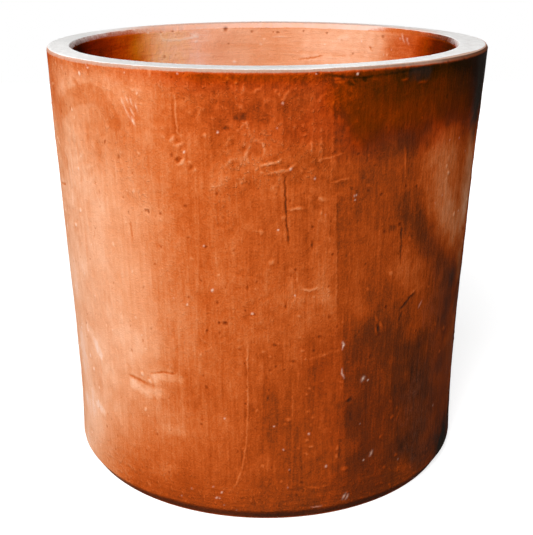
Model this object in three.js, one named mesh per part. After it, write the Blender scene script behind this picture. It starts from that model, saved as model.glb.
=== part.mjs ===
// Terracotta pot: a tall, gently tapered round garden pot with a thick flat rim, pressed and scraped by
// hand and fired in one piece. Millimetres, +Z up. The origin lies on the ground under the middle of the
// pot, and the front faces -Y.
import * as THREE from "three";

// Driving dimensions: the body. The wall hollow is how far the outer face dips inside its straight
// taper, and a larger skew puts the deepest point lower down.
const height = 443;
const rimRadius = 225;
const footRadius = 215;
const rimWall = 26.5;
const footWall = 31;
const floorThickness = 32;
const coveRadius = 20;
const wallHollow = 3;
const wallHollowSkew = 3;

// The worn edges of the rim and of the foot: how far each reaches down or up, and how far inwards.
const outerLipDrop = 4;
const outerLipInset = 1.3;
const innerLipDrop = 5.5;
const innerLipInset = 2.5;
const footEdgeRise = 12.5;
const footEdgeInset = 7.5;

// The drain hole in the middle of the floor, with both of its edges wiped off.
const drainRadius = 15;
const drainEdge = 3;

// What the hand leaves: how far the outline strays from a true circle, with a fuller lip on one side
// and the bore a little off the middle.
const ovalSway = 1.2;
const lobeSway = 0.5;
const lipBulge = 3.6;
const lipBulgeReach = 68;
const boreShift = 0.6;

// Where those bends lie round the pot, as bearings from the front, counted towards the right.
const ovalBearing = 0.12;
const lobeBearing = 0.88;
const lipBulgeBearing = Math.PI / 2;
const lipBulgeSpread = 0.75;
const boreShiftBearing = -Math.PI / 2;
const lobeTwistTurns = 0.24;

// Mesh fineness.
const segmentsAround = 96;
const outerWallSteps = 14;
const innerWallSteps = 10;
const coveSteps = 5;
const rimTopSteps = 2;
const floorSteps = 3;

const bearingGap = (a, b) => Math.atan2(Math.sin(a - b), Math.cos(a - b));
const bell = (x) => Math.exp(-x * x);

const ovalAt = (bearing) => ovalSway * Math.cos(2 * (bearing - ovalBearing));

// The outer face's straying at a bearing and a height: an oval, three slow lobes that drift round as
// they climb, and the fuller lip.
function outerSway(bearing, z) {
  const drift = lobeTwistTurns * 2 * Math.PI * (z / height);
  const lobes = lobeSway * Math.cos(3 * (bearing - lobeBearing) - drift);
  const across = bell(bearingGap(bearing, lipBulgeBearing) / lipBulgeSpread);
  const bulge = lipBulge * across * bell((height - z) / lipBulgeReach);
  return ovalAt(bearing) + lobes + bulge;
}

// The bore has the same oval, about a middle of its own.
const innerSway = (bearing) => ovalAt(bearing) + boreShift * Math.cos(bearing - boreShiftBearing);

const noSway = () => 0;

// The outer wall's radius: a straight taper with the hollow taken off.
function outerRadius(z) {
  const wallBottom = footEdgeRise;
  const wallTop = height - outerLipDrop;
  const share = (z - wallBottom) / (wallTop - wallBottom);
  const peak = wallHollowSkew ** wallHollowSkew / (wallHollowSkew + 1) ** (wallHollowSkew + 1);
  const hollow = (wallHollow * share * (1 - share) ** wallHollowSkew) / peak;
  return THREE.MathUtils.lerp(footRadius, rimRadius, share) - hollow;
}

// The bore's radius: a straight taper from the wall's thickness at the foot to that at the rim.
function innerRadius(z) {
  const share = (z - floorThickness) / (height - floorThickness);
  return THREE.MathUtils.lerp(footRadius - footWall, rimRadius - rimWall, share);
}

// One row of the outline: its radius, its height and how it strays from the circle.
const row = (radius, z, sway) => ({ point: new THREE.Vector2(radius, z), sway });

function underside() {
  return [
    row(drainRadius + drainEdge, 0, noSway),
    row((drainRadius + footRadius) / 2, 0, noSway),
    row(footRadius - footEdgeInset, 0, outerSway),
  ];
}

function outerWall() {
  const top = height - outerLipDrop;
  return Array.from({ length: outerWallSteps + 1 }, (_, i) => {
    const z = THREE.MathUtils.lerp(footEdgeRise, top, i / outerWallSteps);
    return row(outerRadius(z), z, outerSway);
  });
}

function rimTop() {
  const outer = rimRadius - outerLipInset;
  const inner = rimRadius - rimWall + innerLipInset;
  return Array.from({ length: rimTopSteps + 1 }, (_, i) => {
    const share = i / rimTopSteps;
    const sway = (bearing) =>
      THREE.MathUtils.lerp(outerSway(bearing, height), innerSway(bearing), share);
    return row(THREE.MathUtils.lerp(outer, inner, share), height, sway);
  });
}

function bore() {
  const top = height - innerLipDrop;
  const bottom = floorThickness + coveRadius;
  return Array.from({ length: innerWallSteps + 1 }, (_, i) => {
    const z = THREE.MathUtils.lerp(top, bottom, i / innerWallSteps);
    return row(innerRadius(z), z, innerSway);
  });
}

function cove() {
  const wallEnd = innerRadius(floorThickness + coveRadius);
  return Array.from({ length: coveSteps }, (_, i) => {
    const turn = ((i + 1) / coveSteps) * (Math.PI / 2);
    const radius = wallEnd - coveRadius + coveRadius * Math.cos(turn);
    return row(radius, floorThickness + coveRadius * (1 - Math.sin(turn)), innerSway);
  });
}

function floorAndDrain() {
  const outer = innerRadius(floorThickness + coveRadius) - coveRadius;
  const inner = drainRadius + drainEdge;
  const floor = Array.from({ length: floorSteps }, (_, i) =>
    row(THREE.MathUtils.lerp(outer, inner, (i + 1) / floorSteps), floorThickness, noSway),
  );
  return [
    ...floor,
    row(drainRadius, floorThickness - drainEdge, noSway),
    row(drainRadius, drainEdge, noSway),
  ];
}

// The whole outline turned round the axis, then each row pushed in or out by its own sway.
function potGeometry() {
  const rows = [underside(), outerWall(), rimTop(), bore(), cove(), floorAndDrain()].flat();
  const outline = [...rows, rows[0]].map((r) => r.point);
  const geometry = new THREE.LatheGeometry(outline, segmentsAround);
  const position = geometry.getAttribute("position");
  for (let i = 0; i < position.count; i += 1) {
    const { point, sway } = rows[(i % outline.length) % rows.length];
    const bearing = Math.floor(i / outline.length) * ((2 * Math.PI) / segmentsAround);
    const radius = point.x + sway(bearing, point.y);
    position.setXYZ(i, radius * Math.sin(bearing), point.y, radius * Math.cos(bearing));
  }
  geometry.rotateX(Math.PI / 2);
  geometry.computeVertexNormals();
  return geometry;
}

const firedClay = new THREE.MeshStandardMaterial({
  name: "fired_clay",
  color: 0xc8622f,
  roughness: 0.85,
  metalness: 0,
});

const potBody = new THREE.Mesh(potGeometry(), firedClay);
potBody.name = "pot_body";

const pot = new THREE.Group();
pot.name = "terracotta_pot";
pot.add(potBody);

export default pot;
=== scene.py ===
import itertools
import math

import bpy
import numpy as np
from mathutils import Matrix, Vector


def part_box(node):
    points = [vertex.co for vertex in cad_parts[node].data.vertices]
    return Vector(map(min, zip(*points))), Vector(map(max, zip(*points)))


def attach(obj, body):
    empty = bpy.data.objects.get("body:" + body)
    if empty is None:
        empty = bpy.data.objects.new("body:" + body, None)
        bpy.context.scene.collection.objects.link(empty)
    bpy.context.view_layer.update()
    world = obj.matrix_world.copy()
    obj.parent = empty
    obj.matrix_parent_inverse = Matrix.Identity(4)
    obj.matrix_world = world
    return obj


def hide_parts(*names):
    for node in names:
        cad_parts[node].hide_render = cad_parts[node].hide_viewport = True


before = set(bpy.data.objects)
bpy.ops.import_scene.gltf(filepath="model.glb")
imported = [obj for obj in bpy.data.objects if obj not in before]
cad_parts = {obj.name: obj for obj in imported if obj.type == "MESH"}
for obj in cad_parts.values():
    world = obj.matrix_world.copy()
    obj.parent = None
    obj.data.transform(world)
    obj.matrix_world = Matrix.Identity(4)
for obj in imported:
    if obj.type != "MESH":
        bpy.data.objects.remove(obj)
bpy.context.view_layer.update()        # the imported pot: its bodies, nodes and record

# The terracotta pot's looks. The pot is one skin of fired clay, pressed and scraped by hand, laid over the
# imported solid's own outline. Sizes are in millimetres and become metres when the mesh is made. A bearing is
# an angle round the pot, in radians from the front (-Y) towards the right (+X). An arc is a distance along
# the pot's outline, from the drain hole outwards under the pot, up the wall, over the rim and down inside.

MM = 0.001
POT_NODE = "pot_body"

# The pot's driving sizes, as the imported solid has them.
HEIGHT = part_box(POT_NODE)[1].z / MM
RIM_RADIUS = 225.0
FOOT_RADIUS = 215.0
RIM_WALL = 26.5
FOOT_WALL = 31.0
FLOOR_THICKNESS = 32.0
COVE_RADIUS = 20.0
WALL_HOLLOW = 3.0
WALL_HOLLOW_SKEW = 3
OUTER_LIP_DROP = 4.0
OUTER_LIP_INSET = 1.3
INNER_LIP_DROP = 5.5
INNER_LIP_INSET = 2.5
FOOT_EDGE_RISE = 12.5
FOOT_EDGE_INSET = 7.5
DRAIN_RADIUS = 15.0
DRAIN_EDGE = 3.0
OVAL_SWAY = 1.2
OVAL_BEARING = 0.12
LOBE_SWAY = 0.5
LOBE_BEARING = 0.88
LOBE_TWIST_TURNS = 0.24
LIP_BULGE = 3.6
LIP_BULGE_REACH = 68.0
LIP_BULGE_BEARING = math.pi / 2
LIP_BULGE_SPREAD = 0.75
BORE_SHIFT = 0.6
BORE_SHIFT_BEARING = -math.pi / 2

# The photograph's frame and the camera that took it.
PHOTO_WIDTH = 533
PHOTO_HEIGHT = 535
FOCAL_PIXELS = 944.76
CAMERA_PLACE = np.array((0.8, -1009.76, 546.94))
CAMERA_DIP = 0.3391
CAMERA_ROLL = -0.0042
SENSOR_WIDTH = 36.0


def bell(x):
    return np.exp(-x * x)


def smooth_step(low, high, x):
    share = np.clip((x - low) / (high - low), 0, 1)
    return share * share * (3 - 2 * share)


def bearing_gap(a, b):
    return np.arctan2(np.sin(a - b), np.cos(a - b))


def oval_at(bearing):
    return OVAL_SWAY * np.cos(2 * (bearing - OVAL_BEARING))


def outer_sway(bearing, z):
    """How far the outer face strays from a true circle."""
    drift = LOBE_TWIST_TURNS * 2 * math.pi * z / HEIGHT
    lobes = LOBE_SWAY * np.cos(3 * (bearing - LOBE_BEARING) - drift)
    across = bell(bearing_gap(bearing, LIP_BULGE_BEARING) / LIP_BULGE_SPREAD)
    return oval_at(bearing) + lobes + LIP_BULGE * across * bell((HEIGHT - z) / LIP_BULGE_REACH)


def inner_sway(bearing):
    return oval_at(bearing) + BORE_SHIFT * np.cos(bearing - BORE_SHIFT_BEARING)


def outer_radius(z):
    """The outer face's mean radius: a straight taper with a slight hollow."""
    share = (z - FOOT_EDGE_RISE) / (HEIGHT - OUTER_LIP_DROP - FOOT_EDGE_RISE)
    skew = WALL_HOLLOW_SKEW
    peak = skew**skew / (skew + 1) ** (skew + 1)
    hollow = WALL_HOLLOW * share * (1 - share) ** skew / peak
    return FOOT_RADIUS + (RIM_RADIUS - FOOT_RADIUS) * share - hollow


def inner_radius(z):
    share = (z - FLOOR_THICKNESS) / (HEIGHT - FLOOR_THICKNESS)
    start = FOOT_RADIUS - FOOT_WALL
    return start + (RIM_RADIUS - RIM_WALL - start) * share


# The outline, as stretches of corners that follow each other.
WALL_POINTS = 60
COVE_POINTS = 12
BORE_END_RADIUS = inner_radius(FLOOR_THICKNESS + COVE_RADIUS)
COVE_END_RADIUS = BORE_END_RADIUS - COVE_RADIUS


def outline_stretches():
    wall_heights = np.linspace(FOOT_EDGE_RISE, HEIGHT - OUTER_LIP_DROP, WALL_POINTS)
    turns = np.linspace(0, math.pi / 2, COVE_POINTS)
    hole = DRAIN_RADIUS + DRAIN_EDGE
    bore_top = HEIGHT - INNER_LIP_DROP
    return {
        "underside": [(hole, 0.0), (FOOT_RADIUS - FOOT_EDGE_INSET, 0.0)],
        "wall": [(outer_radius(z), z) for z in wall_heights],
        "rim": [
            (RIM_RADIUS - OUTER_LIP_INSET, HEIGHT),
            (RIM_RADIUS - RIM_WALL + INNER_LIP_INSET, HEIGHT),
        ],
        "bore": [(inner_radius(bore_top), bore_top), (BORE_END_RADIUS, FLOOR_THICKNESS + COVE_RADIUS)],
        "cove": [
            (
                COVE_END_RADIUS + COVE_RADIUS * math.cos(turn),
                FLOOR_THICKNESS + COVE_RADIUS * (1 - math.sin(turn)),
            )
            for turn in turns[1:]
        ],
        "floor": [(hole, FLOOR_THICKNESS)],
        "drain": [(DRAIN_RADIUS, FLOOR_THICKNESS - DRAIN_EDGE), (DRAIN_RADIUS, DRAIN_EDGE)],
    }


# The outline is followed in fine steps, with its corners worn round.
OUTLINE_STEP = 0.2
CORNER_WEAR = 0.85
WEAR_REACH = 4


class Outline:
    """The worn outline: radius, height and outward direction at an arc."""

    def __init__(self):
        stretches = outline_stretches()
        corners = np.array([corner for part in stretches.values() for corner in part])
        closed = np.vstack((corners, corners[:1]))
        lengths = np.linalg.norm(np.diff(closed, axis=0), axis=1)
        arcs = np.concatenate(((0.0,), np.cumsum(lengths)))
        self.length = arcs[-1]
        self.span = {}
        first = 0
        for name, part in stretches.items():
            self.span[name] = (arcs[first], arcs[first + len(part) - 1])
            first += len(part)
        count = round(self.length / OUTLINE_STEP)
        self.arcs = np.arange(count) * self.length / count
        reach = round(WEAR_REACH * CORNER_WEAR / OUTLINE_STEP)
        weights = bell(np.arange(-reach, reach + 1) * OUTLINE_STEP / CORNER_WEAR / math.sqrt(2))
        weights /= weights.sum()
        self.radius, self.z = (
            np.convolve(np.pad(np.interp(self.arcs, arcs, closed[:, axis]), reach, "wrap"), weights, "valid")
            for axis in (0, 1)
        )
        along_radius = np.roll(self.radius, -1) - np.roll(self.radius, 1)
        along_z = np.roll(self.z, -1) - np.roll(self.z, 1)
        size = np.hypot(along_radius, along_z)
        self.out_radius, self.out_z = along_z / size, -along_radius / size

    def at(self, arc, values):
        return np.interp(arc, self.arcs, values, period=self.length)

    def arc_of_height(self, name, z):
        """The arc on the wall or on the bore at a height."""
        low, high = self.span[name]
        inside = (self.arcs >= low) & (self.arcs <= high)
        arcs, heights = self.arcs[inside], self.z[inside]
        order = np.argsort(heights)
        return np.interp(z, heights[order], arcs[order])

    def arc_of_rim_radius(self, radius):
        low = self.span["rim"][0]
        return low + (RIM_RADIUS - OUTER_LIP_INSET - radius)


outline = Outline()
WALL_START, WALL_END = outline.span["wall"]
RIM_START, RIM_END = outline.span["rim"]
BORE_START = outline.span["bore"][0]
UNDERSIDE_END = outline.span["underside"][1]
COVE_END = outline.span["cove"][1]
FLOOR_END = outline.span["floor"][1]

# How fine the skin is: the gap between its rings at arcs along the outline, and its columns round the pot.
# The columns lie closer together at the front than at the back.
FINE_GAP, EDGE_GAP, RIM_GAP, PLAIN_GAP = 1.1, 0.55, 0.9, 4.0
EDGE_MARGIN = 3.0
FINE_BORE_DEPTH = 75.0
FINE_END = BORE_START + FINE_BORE_DEPTH
GAP_PLACES = (
    (0.0, EDGE_GAP), (4 * EDGE_MARGIN, PLAIN_GAP), (UNDERSIDE_END - 4 * EDGE_MARGIN, PLAIN_GAP),
    (UNDERSIDE_END - EDGE_MARGIN, EDGE_GAP), (WALL_START + EDGE_MARGIN, EDGE_GAP),
    (WALL_START + 2 * EDGE_MARGIN, FINE_GAP), (WALL_END - 2 * EDGE_MARGIN, FINE_GAP),
    (WALL_END - EDGE_MARGIN, EDGE_GAP), (RIM_START + EDGE_MARGIN, EDGE_GAP),
    (RIM_START + 2 * EDGE_MARGIN, RIM_GAP), (RIM_END - 2 * EDGE_MARGIN, RIM_GAP),
    (RIM_END - EDGE_MARGIN, EDGE_GAP), (BORE_START + EDGE_MARGIN, EDGE_GAP),
    (BORE_START + 2 * EDGE_MARGIN, FINE_GAP), (FINE_END, FINE_GAP), (FINE_END + 8 * EDGE_MARGIN, PLAIN_GAP),
    (FLOOR_END - 4 * EDGE_MARGIN, PLAIN_GAP), (FLOOR_END - EDGE_MARGIN, EDGE_GAP),
    (outline.length, EDGE_GAP),
)
MOST_COLUMNS = 1152
FRONT_CROWDING = 0.4
HALF_COLUMNS_RADIUS = 198.0
QUARTER_COLUMNS_RADIUS = 75.0
EIGHTH_COLUMNS_RADIUS = 33.0


def ring_arcs():
    gaps = np.interp(outline.arcs, *zip(*GAP_PLACES))
    progress = np.concatenate(((0.0,), np.cumsum(OUTLINE_STEP / gaps)))
    count = round(progress[-1])
    places = np.append(outline.arcs, outline.length)
    return np.interp(np.arange(count) * progress[-1] / count, progress, places)


def columns_at(arc):
    """How many columns the ring at an arc has: fewer towards the middle of the floor and in the deep bore."""
    radius = outline.at(arc, outline.radius)
    if radius < EIGHTH_COLUMNS_RADIUS:
        return MOST_COLUMNS // 8
    if radius < QUARTER_COLUMNS_RADIUS:
        return MOST_COLUMNS // 4
    if arc > FINE_END or radius < HALF_COLUMNS_RADIUS and arc < UNDERSIDE_END:
        return MOST_COLUMNS // 2
    return MOST_COLUMNS


def crowded(share):
    """The bearing of a column, from its share of all columns."""
    turn = (share * 2 - 1) * math.pi
    return turn - FRONT_CROWDING * np.sin(turn)


# Smooth seeded noise, and how it is drawn from a lattice of random values.
LATTICE = 8192


class Noise:
    """Smooth noise of three coordinates, from -1 to 1, with cells one unit across."""

    def __init__(self, seed):
        draw = np.random.default_rng(seed)
        self.values = draw.uniform(-1, 1, LATTICE).astype(np.float32)
        self.order = draw.permutation(LATTICE)

    def __call__(self, x, y, z):
        cells, fades = [], []
        for value in np.broadcast_arrays(x, y, z):
            cell = np.floor(value)
            part = (value - cell).astype(np.float32)
            cells.append(cell.astype(np.int64))
            fades.append(part**3 * (part * (part * 6 - 15) + 10))
        total = np.zeros(fades[0].shape, np.float32)
        for corner in itertools.product((0, 1), repeat=3):
            index = np.zeros(fades[0].shape, np.int64)
            weight = np.ones(fades[0].shape, np.float32)
            for cell, fade, step in zip(cells, fades, corner):
                index = self.order[(index + cell + step) % LATTICE]
                weight *= fade if step else 1 - fade
            total += weight * self.values[index]
        return total


def cloud(noise, x, y, z, octaves):
    """Noise summed over octaves, each half as large and twice as fine as the last."""
    total, size = 0.0, 1.0
    for octave in range(octaves):
        scale = 2.0**octave
        total = total + size * noise(x * scale, y * scale, z * scale + octave * 17)
        size /= 2
    return total


def sampled(noise, place, across, tall, octaves=1):
    """Noise at a place in millimetres, with cells as wide as across and as high as tall."""
    x, y, z = place
    return cloud(noise, x / across, y / across, z / tall, octaves)


def layered(noise, place, layers):
    """Noise in layers, each given by its strength, its cells' width and height, and its octaves."""
    return sum(strength * sampled(noise, place, *cells) for strength, *cells in layers)


broad_noise, streak_noise, lump_noise, tone_noise, wander_noise = (Noise(seed) for seed in range(11, 16))
bloom_noise, ring_noise, cover_noise, crest_noise = (Noise(seed) for seed in range(16, 20))

# The line of sight through a pixel of the photograph.
camera_forward = np.array((0, math.cos(CAMERA_DIP), -math.sin(CAMERA_DIP)))
level_right = np.array((1.0, 0.0, 0.0))
level_up = np.array((0, math.sin(CAMERA_DIP), math.cos(CAMERA_DIP)))
camera_right = level_right * math.cos(CAMERA_ROLL) + level_up * math.sin(CAMERA_ROLL)
camera_up = level_up * math.cos(CAMERA_ROLL) - level_right * math.sin(CAMERA_ROLL)
SIGHT_ROUNDS = 12


def sight(pixel):
    across = (pixel[0] - PHOTO_WIDTH / 2) / FOCAL_PIXELS
    down = (pixel[1] - PHOTO_HEIGHT / 2) / FOCAL_PIXELS
    return camera_forward + across * camera_right - down * camera_up


def meets_round(pixel, radius_at, far):
    """Where a line of sight meets the near or the far side of a round wall: bearing and height."""
    ray = sight(pixel)
    radius, bearing, z = RIM_RADIUS, 0.0, HEIGHT / 2
    square = ray[0] ** 2 + ray[1] ** 2
    along = CAMERA_PLACE[0] * ray[0] + CAMERA_PLACE[1] * ray[1]
    for _ in range(SIGHT_ROUNDS):
        clear = CAMERA_PLACE[0] ** 2 + CAMERA_PLACE[1] ** 2 - radius**2
        root = math.sqrt(max(along**2 - square * clear, 0.0))
        reach = (-along + (root if far else -root)) / square
        x, y, z = CAMERA_PLACE + ray * reach
        bearing = math.atan2(x, -y)
        radius = radius_at(bearing, z)
    return bearing, z


def on_wall(pixel):
    bearing, z = meets_round(pixel, lambda b, z: outer_radius(z) + outer_sway(b, z), False)
    return bearing, float(outline.arc_of_height("wall", z))


def on_bore(pixel):
    bearing, z = meets_round(pixel, lambda b, z: inner_radius(z) + inner_sway(b), True)
    return bearing, float(outline.arc_of_height("bore", z))


def on_rim(pixel):
    ray = sight(pixel)
    x, y, _ = CAMERA_PLACE + ray * (HEIGHT - CAMERA_PLACE[2]) / ray[2]
    bearing = math.atan2(x, -y)
    return bearing, float(outline.arc_of_rim_radius(math.hypot(x, y) - oval_at(bearing)))


def share_between(arc, start, end, fade):
    """How strongly a stretch of the outline shows at an arc: it fades into its neighbours across its ends."""
    return smooth_step(start - fade, start + fade, arc) * (1 - smooth_step(end - fade, end + fade, arc))


# How far the edges of marks wander, and over what distance.
RAG = 0.6
RAG_CELL = 3.6
RAG_TURNS = 3, 11


class Rings:
    """Neighbouring rings with as many columns each: their places, relief and surface values."""

    VALUES = "paleness deep soot lip bloom chalk lime pit upright even crumbly".split()

    def __init__(self, arcs, columns):
        self.arcs = arcs
        self.bearings = crowded(np.arange(columns) / columns)
        self.bearing = self.bearings[None, :]
        self.arc = arcs[:, None]
        radius = outline.at(self.arc, outline.radius)
        self.z = outline.at(self.arc, outline.z)
        outer = np.interp(self.arc, (0, UNDERSIDE_END, RIM_START, RIM_END), (0, 1, 1, 0))
        inner = np.interp(self.arc, (RIM_START, RIM_END, COVE_END, FLOOR_END), (0, 1, 1, 0))
        self.radius = radius + outer * outer_sway(self.bearing, self.z) + inner * inner_sway(self.bearing)
        self.mean_radius = radius
        self.x = self.radius * np.sin(self.bearing)
        self.y = -self.radius * np.cos(self.bearing)
        self.z = np.broadcast_to(self.z, self.x.shape)
        self.place = self.x, self.y, self.z
        self.relief = np.zeros(self.x.shape)
        self.value = {name: np.zeros(self.x.shape) for name in self.VALUES}
        self.wall = share_between(self.arc, UNDERSIDE_END + 2, WALL_END, 2.0)
        self.rim = share_between(self.arc, WALL_END, BORE_START, 1.5)
        self.inner_lip = share_between(self.arc, RIM_END, BORE_START, 0.8)
        self.inside = share_between(self.arc, BORE_START, FLOOR_END, 2.0)
        self.under = 1 - share_between(self.arc, UNDERSIDE_END, FLOOR_END, 4.0)
        x, y, z = self.x / RAG_CELL, self.y / RAG_CELL, self.z / RAG_CELL
        self.ragged = [RAG * cloud(lump_noise, x + turn, y, z - turn, 2) for turn in RAG_TURNS]

    def points(self):
        """The places of the skin's corners, in millimetres, pushed out along the outline's normal."""
        out_radius = outline.at(self.arc, outline.out_radius)
        out_z = outline.at(self.arc, outline.out_z)
        radius = self.radius + self.relief * out_radius
        z = np.clip(self.z + self.relief * out_z, 0, HEIGHT)
        return np.stack((radius * np.sin(self.bearing), -radius * np.cos(self.bearing), z), axis=-1)

    def window(self, bearing, arc, reach_across, reach_along):
        """The part of the grid round a place, and its distances across and along from there.

        It is None where no full ring lies near the place: coarser rings take no marks.
        """
        turn = reach_across / max(float(np.interp(arc, self.arcs, self.mean_radius[:, 0])), 1.0)
        index = np.flatnonzero(np.abs(bearing_gap(self.bearings, bearing)) <= turn)
        rows = np.flatnonzero(np.abs(self.arcs - arc) <= reach_along)
        if not len(index) or not len(rows) or len(self.bearings) < MOST_COLUMNS:
            return None
        across = bearing_gap(self.bearings[index], bearing)[None, :] * self.mean_radius[rows]
        along = (self.arcs[rows] - arc)[:, None] * np.ones_like(across)
        return np.ix_(rows, index), across, along


# Unevenness that covers the whole pot: how far the drawing is smeared, how high and sharp the thin crests
# are, and how far the faces sink so that their own unevenness stays inside the solid.
SMEAR, SMEAR_CELL = 5.0, 34
SMEAR_TURNS = 7, 31, 53
CREST_HEIGHT, CREST_SHARPNESS = 0.16, 0.10
RIM_SINK, WALL_SINK = 0.3, 0.2
# The heights between which plaster, calm and crumbs grow, and those above the foot between which comb marks
# grow and the foot's own crumbs end.
PLASTER_RISE, CALM_RISE, CRUMB_RISE = (230, 340), (340, 400), (270, 350)
COMB_RISE, FOOT_CRUMB_FALL = (25, 60), (25, 70)
# How strongly the wall is scraped, by bearing in degrees.
CALM = ((-60, 0.55), (-30, 1.0))
# How strongly the clay is plastered, by bearing in degrees.
PLASTER_SHARE = (
    (-180, 0.8), (-80, 0.7), (-68, 0.45), (-34, 0.45), (-22, 0.9), (16, 1.05), (23, 0.45), (55, 0.45),
    (80, 0.7), (180, 0.8),
)

# Where the clay is smoothed to an even tone, in a band below the rim, and where it is crumbly.
EVENNESS = (
    (-180, 0.20), (-66, 0.40), (-34, 0.35), (-22, 0.00), (12, 0.00), (20, 0.50), (46, 0.50), (60, 0.20),
    (180, 0.20),
)
EVEN_HEIGHT, EVEN_REACH = 388.0, 30.0
CRUMBLINESS = (
    (-180, 0.5), (-50, 0.2), (-30, 0.5), (-18, 1), (14, 1), (21, 0.3), (60, 0.3), (90, 0.5), (180, 0.5),
)
FOOT_CRUMBS = 0.7

# Layers of noise: the strength, the cells' width and height in millimetres, and the octaves where there are
# more than one. Relief is in millimetres, and tone in paleness.
SWELL = ((0.32, 75, 95), (0.20, 28, 40))
SCRAPE = ((0.035, 1.9, 26), (0.045, 4.5, 70), (0.05, 12, 160))
WHEEL_MARKS = ((0.05, 70, 2.4), (0.1, 90, 8))
MOTTLE = ((0.09, 62, 80, 3), (0.07, 14, 18, 2))
STREAKS = ((0.03, 4, 45), (0.03, 2.2, 24))
LUMPS = ((0.55, 13, 15, 3),)
SAND = ((0.07, 3, 3, 2),)
BANDS = ((0.06, 80, 5),)
# Single noises, by their cells' width and height. The rim's wipes are long round the rim and narrow across.
CREST_CELL, CREST_COVER_CELL, PATCH_CELL, CRUMB_CELL = (19, 25), (22, 22), (70, 60), (40, 36)
WIPE, WIPE_CELL = 0.035, (60, 1.5)
RIM_WAVE, RIM_WAVE_CELL = 0.05, 45
# How much of the plaster the bore has, of the swell the underside, and of the mottle the bore.
BORE_PLASTER_SHARE, UNDER_SWELL_SHARE, BORE_MOTTLE_SHARE = 0.4, 0.5, 0.5


def smeared(rings):
    """The skin's places, pushed about, so that what is drawn from them looks smeared by a hand."""
    x, y, z = (place / SMEAR_CELL for place in rings.place)
    ways = zip(rings.place, SMEAR_TURNS)
    return [place + SMEAR * wander_noise(x + turn, y - turn, z) for place, turn in ways]


def plastered(rings):
    """Smeared lumps and thin crests, in patches that are strongest near the rim."""
    place = smeared(rings)
    crests = CREST_HEIGHT * bell(sampled(crest_noise, place, *CREST_CELL) / CREST_SHARPNESS)
    crests = crests * smooth_step(0.05, 0.4, sampled(cover_noise, place, *CREST_COVER_CELL))
    patches = 0.35 + 0.65 * smooth_step(-0.25, 0.4, sampled(cover_noise, place, *PATCH_CELL))
    near_rim = 0.5 + 0.5 * smooth_step(*PLASTER_RISE, rings.z)
    lumps = layered(lump_noise, place, LUMPS)
    return (lumps + crests) * patches * by_bearing(rings, PLASTER_SHARE) * near_rim


def shape_all_over(rings):
    """The relief that covers the whole pot, without any one mark."""
    x, y, z = rings.place
    swell = layered(broad_noise, rings.place, SWELL)
    plaster = plastered(rings)
    calm = by_bearing(rings, CALM) * (1 - 0.4 * smooth_step(*CALM_RISE, z))
    scrape = calm * layered(streak_noise, rings.place, SCRAPE)
    wheel = layered(ring_noise, rings.place, WHEEL_MARKS)
    wipe = WIPE * sampled(ring_noise, (x, y, rings.radius), *WIPE_CELL)
    wipe = wipe + RIM_WAVE * broad_noise(x / RIM_WAVE_CELL, y / RIM_WAVE_CELL, 3)
    sand = layered(lump_noise, rings.place, SAND)
    rings.relief += rings.wall * (swell + plaster + scrape - WALL_SINK) + rings.rim * (wipe - RIM_SINK)
    rings.relief += (
        rings.inside * (swell + BORE_PLASTER_SHARE * plaster + wheel)
        - rings.under * np.abs(UNDER_SWELL_SHARE * swell + sand)
    )


def colour_all_over(rings):
    """The surface values that cover the whole pot, without any one mark."""
    z, value = rings.z, rings.value
    mottle = layered(tone_noise, rings.place, MOTTLE)
    streaks = layered(streak_noise, rings.place, STREAKS)
    bands = layered(ring_noise, rings.place, BANDS) + BORE_MOTTLE_SHARE * mottle
    # The wall's tone carries painted light and shade round the pot.
    value["paleness"] += rings.wall * (wall_paleness(rings) + mottle + streaks)
    # Inside, the tone carries painted light and shade.
    value["paleness"] += rings.inside * (inside_paleness(rings) + bands)
    rim_tone = RIM_TONE + (by_bearing(rings, INNER_LIP_LIGHT_AND_SHADE) - RIM_TONE) * rings.inner_lip
    value["paleness"] += rings.rim * rim_tone
    value["paleness"] += rings.under * (UNDER_TONE + mottle)
    value["deep"] += rings.wall * wall_depth(rings) + rings.inside * inside_depth(rings)
    value["soot"] += rings.rim * rim_darkening(rings) + rings.inner_lip * by_bearing(rings, INNER_LIP_SHADE)
    # Painted shade on the foot's bevelled edge, which faces partly down.
    at_foot = 1 - smooth_step(FOOT_EDGE_RISE - 5, FOOT_EDGE_RISE + 3, z)
    value["soot"] += rings.wall * FOOT_EDGE_SHADE * at_foot
    value["upright"] += rings.wall * smooth_step(*COMB_RISE, z)
    value["even"] += rings.wall * by_bearing(rings, EVENNESS) * bell((z - EVEN_HEIGHT) / EVEN_REACH)
    crumbly = by_bearing(rings, CRUMBLINESS) * (0.25 + 0.75 * smooth_step(*CRUMB_RISE, z))
    patches = smooth_step(-0.3, 0.3, sampled(cover_noise, rings.place, *CRUMB_CELL))
    value["crumbly"] += rings.wall * crumbly * patches
    value["crumbly"] += rings.wall * FOOT_CRUMBS * (1 - smooth_step(*FOOT_CRUMB_FALL, z))
    value["lip"] += lip_cover(rings)
    value["bloom"] += rim_cover(rings)
    value["chalk"] += rim_chalk(rings)


# How pale the clay is drawn round the pot, by bearing in degrees: pale on the left as painted light, and dark
# on the right as painted shade.
WALL_LIGHT_AND_SHADE = (
    (-180, 0.25), (-130, 0.50), (-100, 0.70), (-68, 0.86), (-60, 0.87), (-52, 0.85), (-40, 0.75),
    (-34, 0.63), (-28, 0.49), (-20, 0.27), (-12, 0.10), (0, -0.03), (15, -0.11), (19, -0.22), (26, -0.36),
    (40, -0.38), (48, -0.32), (54, -0.20), (60, -0.12), (68, -0.06), (90, -0.30), (130, 0.00), (180, 0.25),
)
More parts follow.
